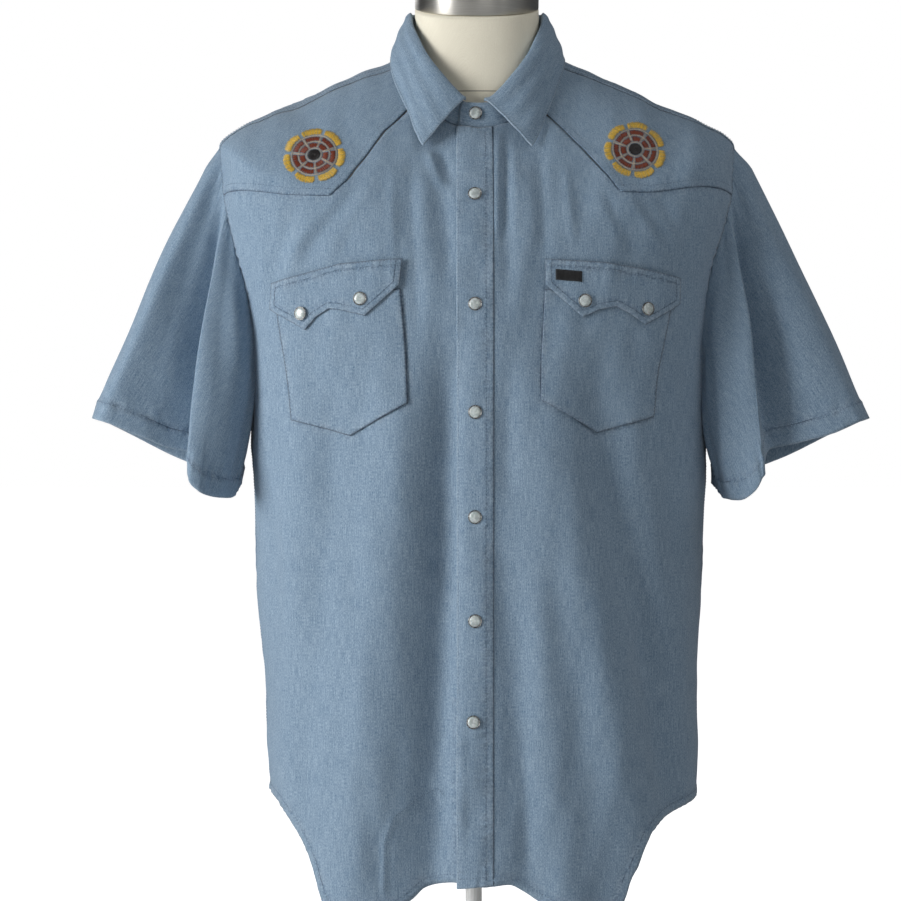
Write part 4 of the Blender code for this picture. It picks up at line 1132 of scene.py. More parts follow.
def placket_out(grid, gap=None):
    x, z = grid[..., 0], grid[..., 1]
    lift = free_edge_lift(np.stack([x, 0 * x, z], -1))
    left_edge, right_edge = (x - PLACKET_L) / .002, (PLACKET_R - x) / .002
    rise = OUT_1 + lift - .0006 * (1 - smooth(right_edge)) - .0003 * (1 - smooth(left_edge))
    rise = rise + .0005 * bell(z - PLACKET_BOTTOM, .006)
    for k, (sx, sz) in enumerate(PLACKET_SNAPS):
        far = np.hypot(x - sx, z - sz)
        petals = .6 + .4 * np.sin(3 * np.arctan2(z - sz, x - sx) + k)
        rise = rise + .0005 * bell(far - .011, .004) * petals
    for line, depth in ((PLACKET_L + .0013, .0006), (PLACKET_R - .0075, .0008)):
        rise = rise + pucker(np.abs(x - line), z, depth, .0078, .006)
    slack = 1 + 1.6 * smooth((.335 - z) / .05)
    wave = np.sin(z * 2 * np.pi / .047 + 3 * np.sin(z * 11))
    return rise + .0004 * slack * wave * np.sin((x - PLACKET_L) / .0347 * np.pi)


PLACKET_SNAPS = [(.0000, .8385), (.0000, .7356), (.0000, .6356), (.0000, .5384), (.0000, .4420),
                 (-.0015, .3483)]
LOW_L, LOW_R = (PLACKET_L, PLACKET_BOTTOM - .001), (PLACKET_R, PLACKET_BOTTOM + .003)
HIGH_L, HIGH_R = (PLACKET_L, Z_TOP + .0024), (PLACKET_R, Z_TOP + .0018)


# the placket's sewn right edge and its stitch line come out as dark lines: partly the stitched joints, partly
# painted shade along the edge
def placket_seam_and_shade(grid, gap):
    from_edge = PLACKET_R - grid[..., 0]
    return np.minimum(from_edge, np.abs(PLACKET_R - .0068 - grid[..., 0]) + .0006)


obj = laid("placket_strip", along([LOW_L, LOW_R], 30), along([HIGH_L, (.003, Z_TOP - .0006), HIGH_R], 30),
           along([LOW_L, HIGH_L], 420), along([LOW_R, HIGH_R], 420), placket_out, sewn=placket_seam_and_shade)
dress(obj, ["placket"])

# each pocket bag's outline comes out as a dark line: partly the darker stitched fold, partly painted shade
# along its turned edge
for side, rows in POCKETS.items():
    word, low = WORD[side], rows["bottom"]
    bottom = np.vstack([along(low[:2], 34), along(low[1:], 34)[1:]])
    obj = laid("pocket_bag_" + word, bottom, along(rows["top"], 68), along(rows["left"][::-1], 70),
               along(rows["right"][::-1], 70), lambda g, gap: turned_down(gap, OUT_1, .0006),
               sewn=lambda g, gap: gap)
    dress(obj, ["pocket_" + word])
# each flap's edge and stitch line come out dark: partly the stitched joint, partly painted shade under the
# flap's edge
for side, rows in FLAPS.items():
    word, low = WORD[side], np.array(rows["bottom"])
    bottom = along(low, 110)
    corner = [int(np.argmin(np.linalg.norm(bottom - c, axis=1))) for c in low]
    for k, c in zip(corner, low):
        bottom[k] = c
    top_line = np.array(rows["top"])
    share = (bottom[:, 0] - bottom[0, 0]) / (bottom[-1, 0] - bottom[0, 0])
    xs = top_line[0, 0] + share * (top_line[-1, 0] - top_line[0, 0])
    top = np.stack([xs, np.interp(xs, top_line[:, 0], top_line[:, 1])], -1)
    obj = laid("flap_" + word, bottom, top, along([bottom[0], top[0]], 36),
               along([bottom[-1], top[-1]], 36), wall=.0014,
               out=lambda g, gap, top=top: turned_down(gap, OUT_2, .0007) + gathers(g, top),
               sewn=lambda g, gap: np.minimum(gap + .0002, np.abs(gap - .0056) + .0003))
    dress(obj, ["pocket_flap_" + word])
obj = laid("woven_label", along([LABEL[3], LABEL[2]], 24), along([LABEL[0], LABEL[1]], 24),
           along([LABEL[3], LABEL[0]], 12), along([LABEL[2], LABEL[1]], 12),
           lambda g, gap: turned_down(gap, OUT_2 + .0009, .0003), wall=.0005, pucker_pitch=.004)
dress(obj, ["label"])

# %% [markdown]
# Thread is what makes sewn cloth look sewn. One stitch is a tiny flattened ball from bmesh, and each
# row copies it along its path with numpy, turned to the path and to the cloth. Every group of rows
# becomes one joined mesh, which keeps thousands of stitches cheap.

# %% Stitches
STITCH_PITCH, STITCH_LONG, THREAD = .0030, .0021, .00026


def prototype(make):
    bm = bmesh.new()
    make(bm)
    bmesh.ops.triangulate(bm, faces=bm.faces)
    bm.verts.ensure_lookup_table()
    verts = np.array([v.co[:] for v in bm.verts])
    faces = np.array([[v.index for v in f.verts] for f in bm.faces])
    bm.free()
    return verts, faces


SEED = prototype(lambda bm: bmesh.ops.create_uvsphere(bm, u_segments=5, v_segments=3, radius=1.0))


def joined(name, proto, origins, frames, sizes):
    """One mesh of many copies: frames are rows of three axes, sizes the three scales of each copy."""
    verts, faces = proto
    all_verts = origins[:, None] + np.einsum("vk,nk,nkc->nvc", verts, sizes, frames)
    count = len(verts)
    all_faces = (faces[None] + np.arange(len(origins))[:, None, None] * count).reshape(-1, 3)
    mesh = bpy.data.meshes.new(name)
    mesh.from_pydata(all_verts.reshape(-1, 3), [], all_faces)
    mesh.polygons.foreach_set("use_smooth", np.ones(len(mesh.polygons), bool))
    obj = new_piece(name, mesh)
    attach(obj, "root")
    print(name, len(origins), "copies", len(mesh.polygons), "faces")


def frames_of(run, normal):
    run = run / np.linalg.norm(run, axis=1, keepdims=True)
    side = np.cross(normal, run)
    side /= np.linalg.norm(side, axis=1, keepdims=True)
    return np.stack([run, side, np.cross(run, side)], 1)


ROWS = {}


def stitch_row(group, points, normals, skip=0.0):
    """Stitches along a line of points that lie on the cloth."""
    run = running(points)
    at = np.arange(STITCH_PITCH * .7 + skip, run[-1] - STITCH_PITCH * .5, STITCH_PITCH)
    if not len(at):
        return

    def pick(s, rows):
        return np.stack([np.interp(s, run, rows[:, k]) for k in range(3)], -1)

    a, b = pick(at - STITCH_LONG / 2, points), pick(at + STITCH_LONG / 2, points)
    n = pick(at, normals)
    n /= np.linalg.norm(n, axis=1, keepdims=True)
    ROWS.setdefault(group, []).append(((a + b) / 2 + n * .00008, frames_of(b - a, n)))


def chart_row(group, path, out, gap=0.0):
    path = even(path, 160)
    if gap:
        path = beside(path, gap)
    p = chart(BODY, path[:, 0], path[:, 1])
    rise = out(p) if callable(out) else out
    stitch_row(group, cloth(path[:, 0], path[:, 1], rise), chart_normal(BODY, path[:, 0], path[:, 1]))


def xz_row(group, corners, out):
    line = along(corners, max(12, int(np.linalg.norm(np.diff(corners, axis=0), axis=1).sum() / .0015)))
    theta, t = place(line[:, 0], line[:, 1])
    rise = out(line) if callable(out) else out
    stitch_row(group, cloth(theta, t, rise), chart_normal(BODY, theta, t))


def inset(corners, gap):
    """An open line of x and z moved to its left."""
    corners = np.array(corners, float)
    d = np.diff(corners, axis=0)
    d /= np.linalg.norm(d, axis=1, keepdims=True)
    n = np.stack([-d[:, 1], d[:, 0]], -1)
    first = corners[:1] + n[:1] * gap
    last = corners[-1:] + n[-1:] * gap
    mid = corners[1:-1] + (n[:-1] + n[1:]) * gap / (1 + (n[:-1] * n[1:]).sum(1))[:, None]
    return np.vstack([first, mid, last])


for side, word in WORD.items():
    raised = lambda p, w=word: raised_edge(p, "yoke_" + w)
    for gap in (.0014, .0072):
        chart_row("yokes", yoke_seam(side), raised, gap * side)
        chart_row("yokes", shoulder_seam(side), lambda p: 0 * p[:, 0] + .0010, gap * side)
    arm = armhole(side, np.linspace(0, 1, 120))
    for gap in (.0016, .0070):
        chart_row("armholes", arm, .0005, gap * side)
    line = hem_line(HEMS[side], 5, side * 88)
    chart_row("hems", line, lambda p, w=word: hem_band(p, "hem_" + w), HEM_WIDE * side)
    for gap in (.0016, .0070):
        chart_row("hems", [(side * rad(90), .280), (side * rad(90), UNDERARM)], .0005, -gap * side)
chart_row("hems", hem_line(HEM_B, 92, 268, 180), lambda p: hem_band(p, "hem_back"), HEM_WIDE)
for gap in (.0014, .0072):
    chart_row("yokes", [(rad(104), .850), (rad(120), .846), (rad(150), .838), (rad(180), .832),
                        (rad(210), .838), (rad(240), .846), (rad(256), .850)],
              lambda p: raised_edge(p, "back_yoke"), gap)
for x in (PLACKET_L + .0013, PLACKET_R - .0075):
    line = np.array([(x, PLACKET_BOTTOM + .004), (x, Z_TOP - .003)])
    xz_row("placket", line, placket_out)
line = np.array([(PLACKET_L + .002, PLACKET_BOTTOM + .008), (PLACKET_R - .002, PLACKET_BOTTOM + .0115)])
xz_row("placket", line, placket_out)
xz_row("hems", PRESSED[::-1], .0003)
for side in POCKETS:
    xz_row("pockets", inset(pocket_outline(side), .0012), OUT_1 - .0002)
for rows in FLAPS.values():
    for gap, rise in ((.0012, -.0003), (.0068, .0001)):
        xz_row("pockets", inset(np.array(rows["top"])[::-1], gap), OUT_2 + rise)
    ring = np.vstack([rows["top"][0], rows["bottom"], rows["top"][-1]])
    xz_row("pockets", inset(ring, .0056), OUT_2 + .0001)
for points in SLEEVES:
    steps = np.linalg.norm(np.diff(points[:, ::-1], axis=1, prepend=points[:, -1:]), axis=-1)
    down = np.cumsum(steps, axis=1)[:, ::-1]
    n = facing(grid_normals(points, True), points - points.mean(axis=0)[None])
    gap = SLEEVE_HEM - .0012
    at = np.array([np.interp(-gap, -down[i], np.arange(down.shape[1])) for i in range(len(down))])
    k = np.clip(at.astype(int), 0, down.shape[1] - 2)
    f, i = (at - k)[:, None], np.arange(len(down))
    stitch_row("sleeves", points[i, k] * (1 - f) + points[i, k + 1] * f, n[i, k])
stitch_row("collar", LEAF_GRID[2:-2, -3], LEAF_NORMALS[2:-2, -3], skip=.001)
for col in (1, -2):
    stitch_row("collar", LEAF_GRID[col, 20:-2], LEAF_NORMALS[col, 20:-2])
for name, found in ROWS.items():
    at, frames = (np.concatenate(x) for x in zip(*found))
    sizes = np.tile([STITCH_LONG / 2, THREAD, THREAD * .8], (len(at), 1))
    joined("stitches_" + name, SEED, at, frames, sizes)

# %% [markdown]
# Each yoke carries an embroidered flower wheel, worked in satin stitch. Satin stitch is long threads
# laid side by side, so the flower is drawn as threads too: seven yellow petals outside, two brick-red
# rings inside them, and pale grey thread that outlines the rings and rays. A rule of radius and angle
# lays every thread, and each colour is one joined mesh.

# %% Embroidered flowers
# which side, its middle's x and z, and how far the flower is turned
ROSETTES = [("right", -.1517, .8793, .35), ("left", .1519, .8843, .10)]
FLOWER_WIDE, FLOWER_HIGH = .0295, .0280
THREAD_W = .00042
CAPSULE = prototype(lambda bm: bmesh.ops.create_uvsphere(bm, u_segments=6, v_segments=5, radius=1.0))
PETALS = 7


def flower_threads(turned):
    """Threads as (colour, radius and angle at both ends, lift), radii in parts of the whole."""
    rng = np.random.default_rng(11)
    found = {"yellow": [], "red": [], "grey": [], "dark": []}

    def satin(colour, angle0, angle1, inner, outer, radius, lift):
        steps = max(2, int((angle1 - angle0) * radius * FLOWER_WIDE / (THREAD_W * .85)))
        for a in np.linspace(angle0, angle1, steps, endpoint=False):
            wob = rng.normal(0, .012, 3)
            found[colour].append((inner(a) + wob[0], a + wob[2] * .3, outer(a) + wob[1], a + wob[2] * .6,
                                  lift))

    step = 2 * np.pi / PETALS
    for k in range(PETALS):
        a0 = turned + k * step
        gap = .075
        edge = lambda a, a0=a0: 1.03 - .13 * np.abs((a - a0) / step - .5) ** 3.2 * 9.2
        satin("yellow", a0 + gap, a0 + step - gap, lambda a: .76, edge, .87, .00055)
        satin("red", a0 + gap * 1.3, a0 + step - gap * 1.3, lambda a: .53, lambda a: .70, .62, .00045)
        satin("red", a0 + gap * 1.8, a0 + step - gap * 1.8, lambda a: .28, lambda a: .48, .38, .00040)
        for off in (-.034, 0, .034):
            found["grey"].append((.25, a0 + off * 2, .76, a0 + off, .0007))
    for radius in (.235, .262, .492, .514, .714, .737):
        count = int(2 * np.pi * radius * FLOWER_WIDE / .0016)
        for k in range(count):
            a = turned + 2 * np.pi * k / count
            found["grey"].append((radius, a, radius, a + 2 * np.pi / count * 1.15, .0007))
    satin("dark", 0, 2 * np.pi, lambda a: .01, lambda a: .215, .26, .0007)
    return found


def rosette(word, x0, z0, turned):
    for colour, rows in flower_threads(turned).items():
        r0, a0, r1, a1, lift = np.array(rows).T
        ends = []
        for r, a in ((r0, a0), (r1, a1)):
            theta, t = place(x0 + FLOWER_WIDE * r * np.cos(a), z0 + FLOWER_HIGH * r * np.sin(a))
            ends.append((cloth(theta, t, lift), chart_normal(BODY, theta, t)))
        (p, n), (q, m) = ends
        size = np.stack([np.linalg.norm(q - p, axis=1) / 2 + .0001, np.full(len(p), THREAD_W * .62),
                         np.full(len(p), .00028)], -1)
        joined("flower_%s_%s" % (colour, word), CAPSULE, (p + q) / 2, frames_of(q - p, n + m), size)


for row in ROSETTES:
    rosette(*row)

# %% [markdown]
# Pearl snaps are a thin metal ring that grips a domed pearl cap. Both are profiles turned round an
# axis by a full spin and then set on the cloth where each snap closes.

# %% Snaps
FLAP_SNAPS = [("snap_flap_right_1", -.1610, .7285), ("snap_flap_right_2", -.1055, .7409),
              ("snap_flap_left_1", .1013, .7389), ("snap_flap_left_2", .1594, .7325)]
SNAP_R, SNAP_STEPS = .0065, 40
RING_ROWS = [(.0, .0002), (.97, .0002), (1, .0007), (.985, .0014), (.92, .0017), (.84, .0013), (.82, .0006)]
PEARL_ROWS = [(.83, .0005), (.825, .0013), (.72, .0020), (.40, .0025), (0, .0026)]


def turned(bm, profile, steps):
    verts = [bm.verts.new((r, 0, h)) for r, h in profile]
    edges = [bm.edges.new(pair) for pair in zip(verts, verts[1:])]
    bmesh.ops.spin(bm, geom=verts + edges, cent=(0, 0, 0), axis=(0, 0, 1), angle=2 * math.pi, steps=steps,
                   use_merge=True)
    bmesh.ops.remove_doubles(bm, verts=bm.verts, dist=1e-7)
    bmesh.ops.recalc_face_normals(bm, faces=bm.faces)


def rounded(points, steps=3):
    """A profile with its corners softened by repeated corner cutting."""
    pts = np.array(points, float)
    for _ in range(steps):
        q = pts[:-1] * .75 + pts[1:] * .25
        r = pts[:-1] * .25 + pts[1:] * .75
        pts = np.vstack([pts[:1], np.stack([q, r], 1).reshape(-1, 2), pts[-1:]])
    return pts


def snap_profile(rows):
    """Rows of radius, in parts of the snap's, and height."""
    return rounded([(SNAP_R * share, height) for share, height in rows])


def snap(node, point, axis):
    bm = bmesh.new()
    turned(bm, snap_profile(RING_ROWS), SNAP_STEPS)
    ring = len(bm.faces)
    pearl = bmesh.new()
    turned(pearl, snap_profile(PEARL_ROWS), SNAP_STEPS)
    mesh = bpy.data.meshes.new(node + "_cap")
    pearl.to_mesh(mesh)
    pearl.free()
    bm.from_mesh(mesh)
    bm.faces.ensure_lookup_table()
    for k, face in enumerate(bm.faces):
        face.smooth = True
        face.material_index = 0 if k < ring else 1
    turn = Vector(axis).to_track_quat("Z", "Y").to_matrix().to_4x4()
    turn.translation = Vector(point)
    bmesh.ops.transform(bm, matrix=turn, verts=bm.verts)
    bm.to_mesh(mesh)
    bm.free()
    obj = new_piece("pearl_" + node, mesh)
    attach(obj, "root")
    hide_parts(node)


placket = [("snap_placket_%d" % (k + 1), x, z) for k, (x, z) in enumerate(PLACKET_SNAPS)]
for rows, rise in ((placket, OUT_1), (FLAP_SNAPS, OUT_2)):
    for name, x, z in rows:
        theta, t = place(x, z)
        snap(name, cloth(theta, t, rise + .0002), chart_normal(BODY, theta, t))
collar_angle = np.array(rad(-1.5))
spot = ring_point(STAND_LOW, collar_angle) * .40 + stand_top(collar_angle)[0] * .60
snap("snap_collar", spot + np.array([0, -.0008, 0]), (0, -1, .12))
print(len(placket) + len(FLAP_SNAPS) + 1, "snaps")

# %% [markdown]
# The dress form only shows at the neck and from below. Its torso is a padded shell under tight linen,
# a size smaller than the shirt all round. It is built from its own table of rings with the same chart.

# %% Dress form
FORM = np.array([
    (0.255, .1600, .0040, 0, .2550, -.1080, .255, .1000, .255),
    (0.330, .1720, .0040, 0, .3300, -.1140, .330, .1080, .330),
    (0.430, .1700, .0040, 0, .4300, -.1120, .430, .1040, .430),
    (0.520, .1600, .0040, 0, .5200, -.1080, .520, .0940, .520),
    (0.600, .1680, .0040, 0, .6000, -.1170, .600, .1000, .600),
    (0.693, .1840, .0040, 0, .6930, -.1310, .693, .1120, .693),
    (0.760, .1960, .0035, 0, .7600, -.1345, .745, .1170, .750),
    (0.830, .2120, .0030, 0, .8300, -.1300, .788, .1150, .802),
    (0.880, .2210, .0025, 0, .8850, -.1235, .815, .1110, .840),
    (0.905, .2200, .0025, 0, .9120, -.1205, .830, .1085, .860),
    (0.930, .2090, .0025, 0, .9240, -.1165, .845, .1055, .882),
    (0.980, .1700, .0027, 0, .9422, -.1050, .866, .0940, .915),
    (1.030, .1235, .0030, 0, .9600, -.0920, .887, .0820, .945),
    (1.070, .0690, .0030, 0, .9765, -.0735, .906, .0670, .966)])
FORM_INSET, NECK_R, NECK_TOP = .0042, .0605, 1.0316


def dress_form():
    a = np.linspace(0, 2 * np.pi, 121)
    t = np.r_[np.linspace(.2551, .86, 60), np.linspace(.86, 1.0699, 40)[1:]]
    A, T = np.meshgrid(a, t, indexing="ij")
    body = chart(FORM, A, T) - chart_normal(FORM, A, T) * FORM_INSET
    rows = [(.0640, .9990, -.0650, .9350, .0630, .9930, 2.0),
            (.0610, 1.0120, -.0612, .9700, .0605, 1.0200, 1.5),
            (NECK_R, NECK_TOP, -.0582, 1.0150, .0582, 1.0482, 1.0)]
    knots = [body[:, -1]]
    for half, *heights, power in rows:
        knots.append(ring_point([half, .003, 0, *heights], a, power))
    knots = np.stack(knots, 1)
    share = np.array([0, .18, .55, 1.0])
    v = np.linspace(0, 1, 24)[1:]
    neck = np.stack([np.stack([monotone(share, knots[i, :, k], v) for k in range(3)], -1)
                     for i in range(len(a))])
    grid = np.concatenate([body, neck], axis=1)
    left, _, down, _ = lengths(grid)
    obj = sheet("linen_torso", [(grid, np.stack([left, down], -1), FAR, FAR)], from_axis, wall=.002,
                ring=True)
    bm = bmesh.new()
    bm.from_mesh(obj.data)
    bmesh.ops.holes_fill(bm, edges=[e for e in bm.edges if e.is_boundary], sides=0)
    bmesh.ops.recalc_face_normals(bm, faces=bm.faces)
    bm.to_mesh(obj.data)
    bm.free()
    obj.modifiers.clear()
    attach(obj, "root")
    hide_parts("form_torso")


dress_form()


def neck_cap():
    """The metal cap, turned finely enough to reflect smoothly."""
    tilt = rad(15.9)
    axis = Vector((0, -math.sin(tilt), math.cos(tilt)))
    bm = bmesh.new()
    profile = np.vstack([[(0, .0003), (NECK_R - .0006, .0003)], [(NECK_R, .0010), (NECK_R, .0200)],
                         rounded([(NECK_R, .0205), (.0585, .0235), (.052, .0262), (.030, .0285),
                                  (0, .0290)], 2)])
    turned(bm, profile, 128)
    cloth_uv = bm.loops.layers.uv.new("cloth")
    for face in bm.faces:
        face.smooth = True
        for loop in face.loops:
            x, y, h = loop.vert.co
            loop[cloth_uv].uv = (h - math.hypot(x, y), math.atan2(x, -y) * NECK_R)
    turn = axis.to_track_quat("Z", "Y").to_matrix().to_4x4()
    turn.translation = Vector((.003, 0, NECK_TOP)) + axis * .0004
    bmesh.ops.transform(bm, matrix=turn, verts=bm.verts)
    mesh = bpy.data.meshes.new("steel_neck_cap")
    bm.to_mesh(mesh)
    bm.free()
    obj = new_piece("steel_neck_cap", mesh)
    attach(obj, "root")
    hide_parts("neck_cap")


neck_cap()

# %% [markdown]
# Materials are node trees. This helper lays nodes out by name and wires them with short pairs, so a
# finish reads as a recipe. Effects that several finishes share are groups: a weave, with slubs and
# two thread colours, and wear with painted shade, which turns the distances kept on the cloth into
# masks for faded edges and for dark seam lines and pucker spots that are partly painted shade.

# %% Node helpers
class Tree:
    def __init__(self, tree):
        self.tree = tree

    def add(self, kind, **sockets):
        node = self.tree.nodes.new(kind)
        for key, value in sockets.items():
            if hasattr(node, key) and not isinstance(value, bpy.types.NodeSocket):
                setattr(node, key, value)
                continue
            name = key.replace("_", " ")
            target = node.inputs[int(key[1:])] if key[0] == "i" and key[1:].isdigit() else node.inputs[name]
            self.put(target, value)
        return node

    def put(self, target, value):
        if isinstance(value, bpy.types.NodeSocket):
            self.tree.links.new(value, target)
        elif isinstance(value, tuple) and len(value) == 3 and target.type == "RGBA":
            target.default_value = (*value, 1)
        else:
            target.default_value = value

    def math(self, operation, a, b=None, clamp=False):
        node = self.tree.nodes.new("ShaderNodeMath")
        node.operation, node.use_clamp = operation, clamp
        self.put(node.inputs[0], a)
        if b is not None:
            self.put(node.inputs[1], b)
        return node.outputs[0]

    def mix(self, share, a, b, blend="MIX"):
        node = self.tree.nodes.new("ShaderNodeMix")
        node.data_type, node.blend_type = "RGBA", blend
        self.put(node.inputs[0], share)
        self.put(node.inputs[6], a)
        self.put(node.inputs[7], b)
        return node.outputs[2]

    def noise(self, vector, scale, detail=2.0, rough=.5):
        return self.add("ShaderNodeTexNoise", Vector=vector, Scale=scale, Detail=detail,
                        Roughness=rough).outputs[0]

    def local(self):
        return self.add("ShaderNodeTexCoord").outputs["Object"]

    def bump(self, strength, distance, height):
        node = self.add("ShaderNodeBump", Strength=strength, Distance=distance, Height=height)
        return node.outputs[0]

    def stretch(self, vector, size):
        return self.add("ShaderNodeMapping", Vector=vector, Scale=size).outputs[0]

    def remap(self, value, low, high, a=0.0, b=1.0):
        node = self.tree.nodes.new("ShaderNodeMapRange")
        node.interpolation_type = "SMOOTHSTEP"
        for k, v in enumerate((value, low, high, a, b)):
            self.put(node.inputs[k], v)
        return node.outputs[0]


def group(name, ins, outs):
    tree = bpy.data.node_groups.new(name, "ShaderNodeTree")
    for label, kind, value in ins:
        sock = tree.interface.new_socket(label, in_out="INPUT", socket_type=kind)
        if value is not None:
            sock.default_value = value
    for label, kind in outs:
        tree.interface.new_socket(label, in_out="OUTPUT", socket_type=kind)
    given, made = tree.nodes.new("NodeGroupInput"), tree.nodes.new("NodeGroupOutput")
    return tree, Tree(tree), given.outputs, made.inputs


def finish(name, **settings):
    mat = bpy.data.materials.new(name)
    mat.use_nodes = True
    tree = Tree(mat.node_tree)
    shader = mat.node_tree.nodes["Principled BSDF"]
    for key, value in settings.items():
        tree.put(shader.inputs[key.replace("_", " ")], value)
    return mat, tree, shader


def use(tree, node_tree, **sockets):
    node = tree.tree.nodes.new("ShaderNodeGroup")
    node.node_tree = node_tree
    for key, value in sockets.items():
        tree.put(node.inputs[key.replace("_", " ")], value)
    return node


# %% Shared effects
FLOAT, COLOUR, VECTOR = "NodeSocketFloat", "NodeSocketColor", "NodeSocketVector"
WEAVE, w, gi, go = group("plain weave",
                         [("Cloth", VECTOR, None), ("Warp", COLOUR, (.1, .1, .1, 1)),
                          ("Weft", COLOUR, (.8, .8, .8, 1)), ("Thread", FLOAT, 1600.0), ("Slub", FLOAT, .5)],
                         [("Colour", COLOUR), ("Height", FLOAT)])


def wander(noise, height):
    """A noise about its middle, made stronger or weaker."""
    return w.math("MULTIPLY", w.math("SUBTRACT", noise, .5), height)


long_run = w.noise(w.stretch(gi["Cloth"], (1600, 480, 1)), 1.0, 2.0, .6)
slubs = w.noise(w.stretch(gi["Cloth"], (1350, 60, 1)), 1.0, 2.0, .6)
cross_run = w.noise(w.stretch(gi["Cloth"], (200, 1700, 1)), 1.0, 2.0, .6)
cloud = w.noise(w.stretch(gi["Cloth"], (24, 13, 1)), 1.0, 2.0, .5)
xyz = w.add("ShaderNodeSeparateXYZ", Vector=gi["Cloth"]).outputs
warp_wave = w.math("SINE", w.math("MULTIPLY", xyz[0], w.math("MULTIPLY", gi["Thread"], 2 * math.pi)))
weft_wave = w.math("SINE", w.math("MULTIPLY", xyz[1], w.math("MULTIPLY", gi["Thread"], 2 * math.pi)))
checker = w.math("MULTIPLY", warp_wave, weft_wave)
blend = w.math("ADD", wander(long_run, 3.0), wander(slubs, 1.9))
blend = w.math("ADD", blend, wander(cross_run, .9))
blend = w.math("ADD", blend, wander(cloud, .22))
woven = w.math("ADD", w.math("MULTIPLY", checker, .12), .5)
share = w.math("ADD", w.math("MULTIPLY", blend, gi["Slub"]), woven, clamp=True)
w.put(go["Colour"], w.mix(share, gi["Warp"], gi["Weft"]))
w.put(go["Height"], w.math("ADD", w.math("MULTIPLY", checker, .5), w.math("MULTIPLY", blend, .8)))

# wear and painted shade: faded edges and crests are wear, while the dark seam lines and pucker spots are
# partly painted shade
WEAR_AND_SHADE, w, gi, go = group("wear", [("Cloth", VECTOR, None), ("Edge", FLOAT, 99.0), ("Seam", FLOAT, 99.0)],
                        [("Faded", FLOAT), ("DarkSeamAndShade", FLOAT), ("Ridge", FLOAT), ("GathersAndShade", FLOAT)])
grain = w.noise(w.stretch(gi["Cloth"], (230, 230, 1)), 1.0, 3.0, .6)
patchy = w.noise(w.stretch(gi["Cloth"], (70, 70, 1)), 1.0, 2.0, .5)
near_edge = w.remap(gi["Edge"], .25, 1.3, 1.0, 0.0)
band = w.remap(gi["Edge"], 1.0, 7.0, .30, 0.0)
rubbed = w.math("MULTIPLY", near_edge, w.remap(grain, .35, .62))
w.put(go["Faded"], w.math("ADD", rubbed, w.math("MULTIPLY", band, patchy), clamp=True))
# painted shade: dark within about a millimetre of a seam or shade line, partly the stitched joint
w.put(go["DarkSeamAndShade"], w.remap(gi["Seam"], .20, 1.05, 1.0, 0.0))
w.put(go["Ridge"], w.math("MULTIPLY", w.remap(gi["Seam"], 1.0, 8.5, 1.0, 0.0), w.remap(patchy, .40, .62)))
# painted shade: pucker spots beside seams, used both to darken the cloth and to sink its bump
drawn_in = w.noise(w.stretch(gi["Cloth"], (380, 380, 1)), 1.0, 1.0, .4)
w.put(go["GathersAndShade"], w.math("MULTIPLY", w.remap(gi["Seam"], .8, 6.5, 1.0, 0.0), w.remap(drawn_in, .45, .60)))
print("groups:", [g.name for g in bpy.data.node_groups])

# %% [markdown]
# Chambray has a blue warp and a white weft, so it is never one flat blue. The warp's slubs leave fine
# streaks up the cloth. Washing fades turned edges and the crests beside seams. Seam lines and the
# puckers beside them are darker, partly the indigo kept in the stitched joints and partly painted
# shade in the grooves and under laid edges. A little sheen gives the soft bloom of brushed cotton at
# grazing angles.

# %% Chambray and thread
def cloth_finish(name, warp, weft, slub, fade, **settings):
    mat, t, shader = finish(name, **settings)
    uv = t.add("ShaderNodeUVMap", uv_map="cloth").outputs[0]
    edge = t.add("ShaderNodeAttribute", attribute_name="edge_mm").outputs["Fac"]
    seam = t.add("ShaderNodeAttribute", attribute_name="seam_mm").outputs["Fac"]
    weave = use(t, WEAVE, Cloth=uv, Warp=warp, Weft=weft, Slub=slub).outputs
    wear = use(t, WEAR_AND_SHADE, Cloth=uv, Edge=edge, Seam=seam).outputs
    colour = t.mix(t.math("MULTIPLY", wear["Faded"], fade), weave["Colour"], (.40, .48, .55))
    colour = t.mix(t.math("MULTIPLY", wear["Ridge"], fade * .35), colour, (.42, .50, .58))
    # painted shade in the puckers beside seams
    colour = t.mix(t.math("MULTIPLY", wear["GathersAndShade"], fade * .60), colour, (.050, .095, .165))
    # dark lines at seams and edges: partly the darker stitched joint, partly painted shade
    colour = t.mix(t.math("MULTIPLY", wear["DarkSeamAndShade"], .72), colour, (.028, .050, .090))
    t.put(shader.inputs["Base Color"], colour)
    height = t.math("SUBTRACT", weave["Height"], t.math("MULTIPLY", wear["GathersAndShade"], 1.5))
    t.put(shader.inputs["Normal"], t.bump(.35, .0004, height))
    return mat


CHAMBRAY = cloth_finish("chambray", (.080, .155, .250), (.37, .475, .58), .62, .55,
                        Roughness=.88, Sheen_Weight=.18, Sheen_Roughness=.45, Specular_IOR_Level=.22)
LABEL_CLOTH = cloth_finish("label_cloth", (.005, .005, .006), (.016, .015, .015), .7, .08,
                           Roughness=.7, Sheen_Weight=.05, Specular_IOR_Level=.3)


def thread_finish(name, colour, rough=.55, sheen=.1):
    mat, t, shader = finish(name, Roughness=rough, Sheen_Weight=sheen, Sheen_Roughness=.4)
    spot = t.local()
    grain = t.noise(spot, 900.0, 2.0, .6)
    shade, light = tuple(c * .72 for c in colour), tuple(min(1, c * 1.2) for c in colour)
    t.put(shader.inputs["Base Color"], t.mix(t.remap(grain, .3, .7), shade, light))
    t.put(shader.inputs["Normal"], t.bump(.3, .0002, t.noise(spot, 2600.0, 2.0)))
    return mat


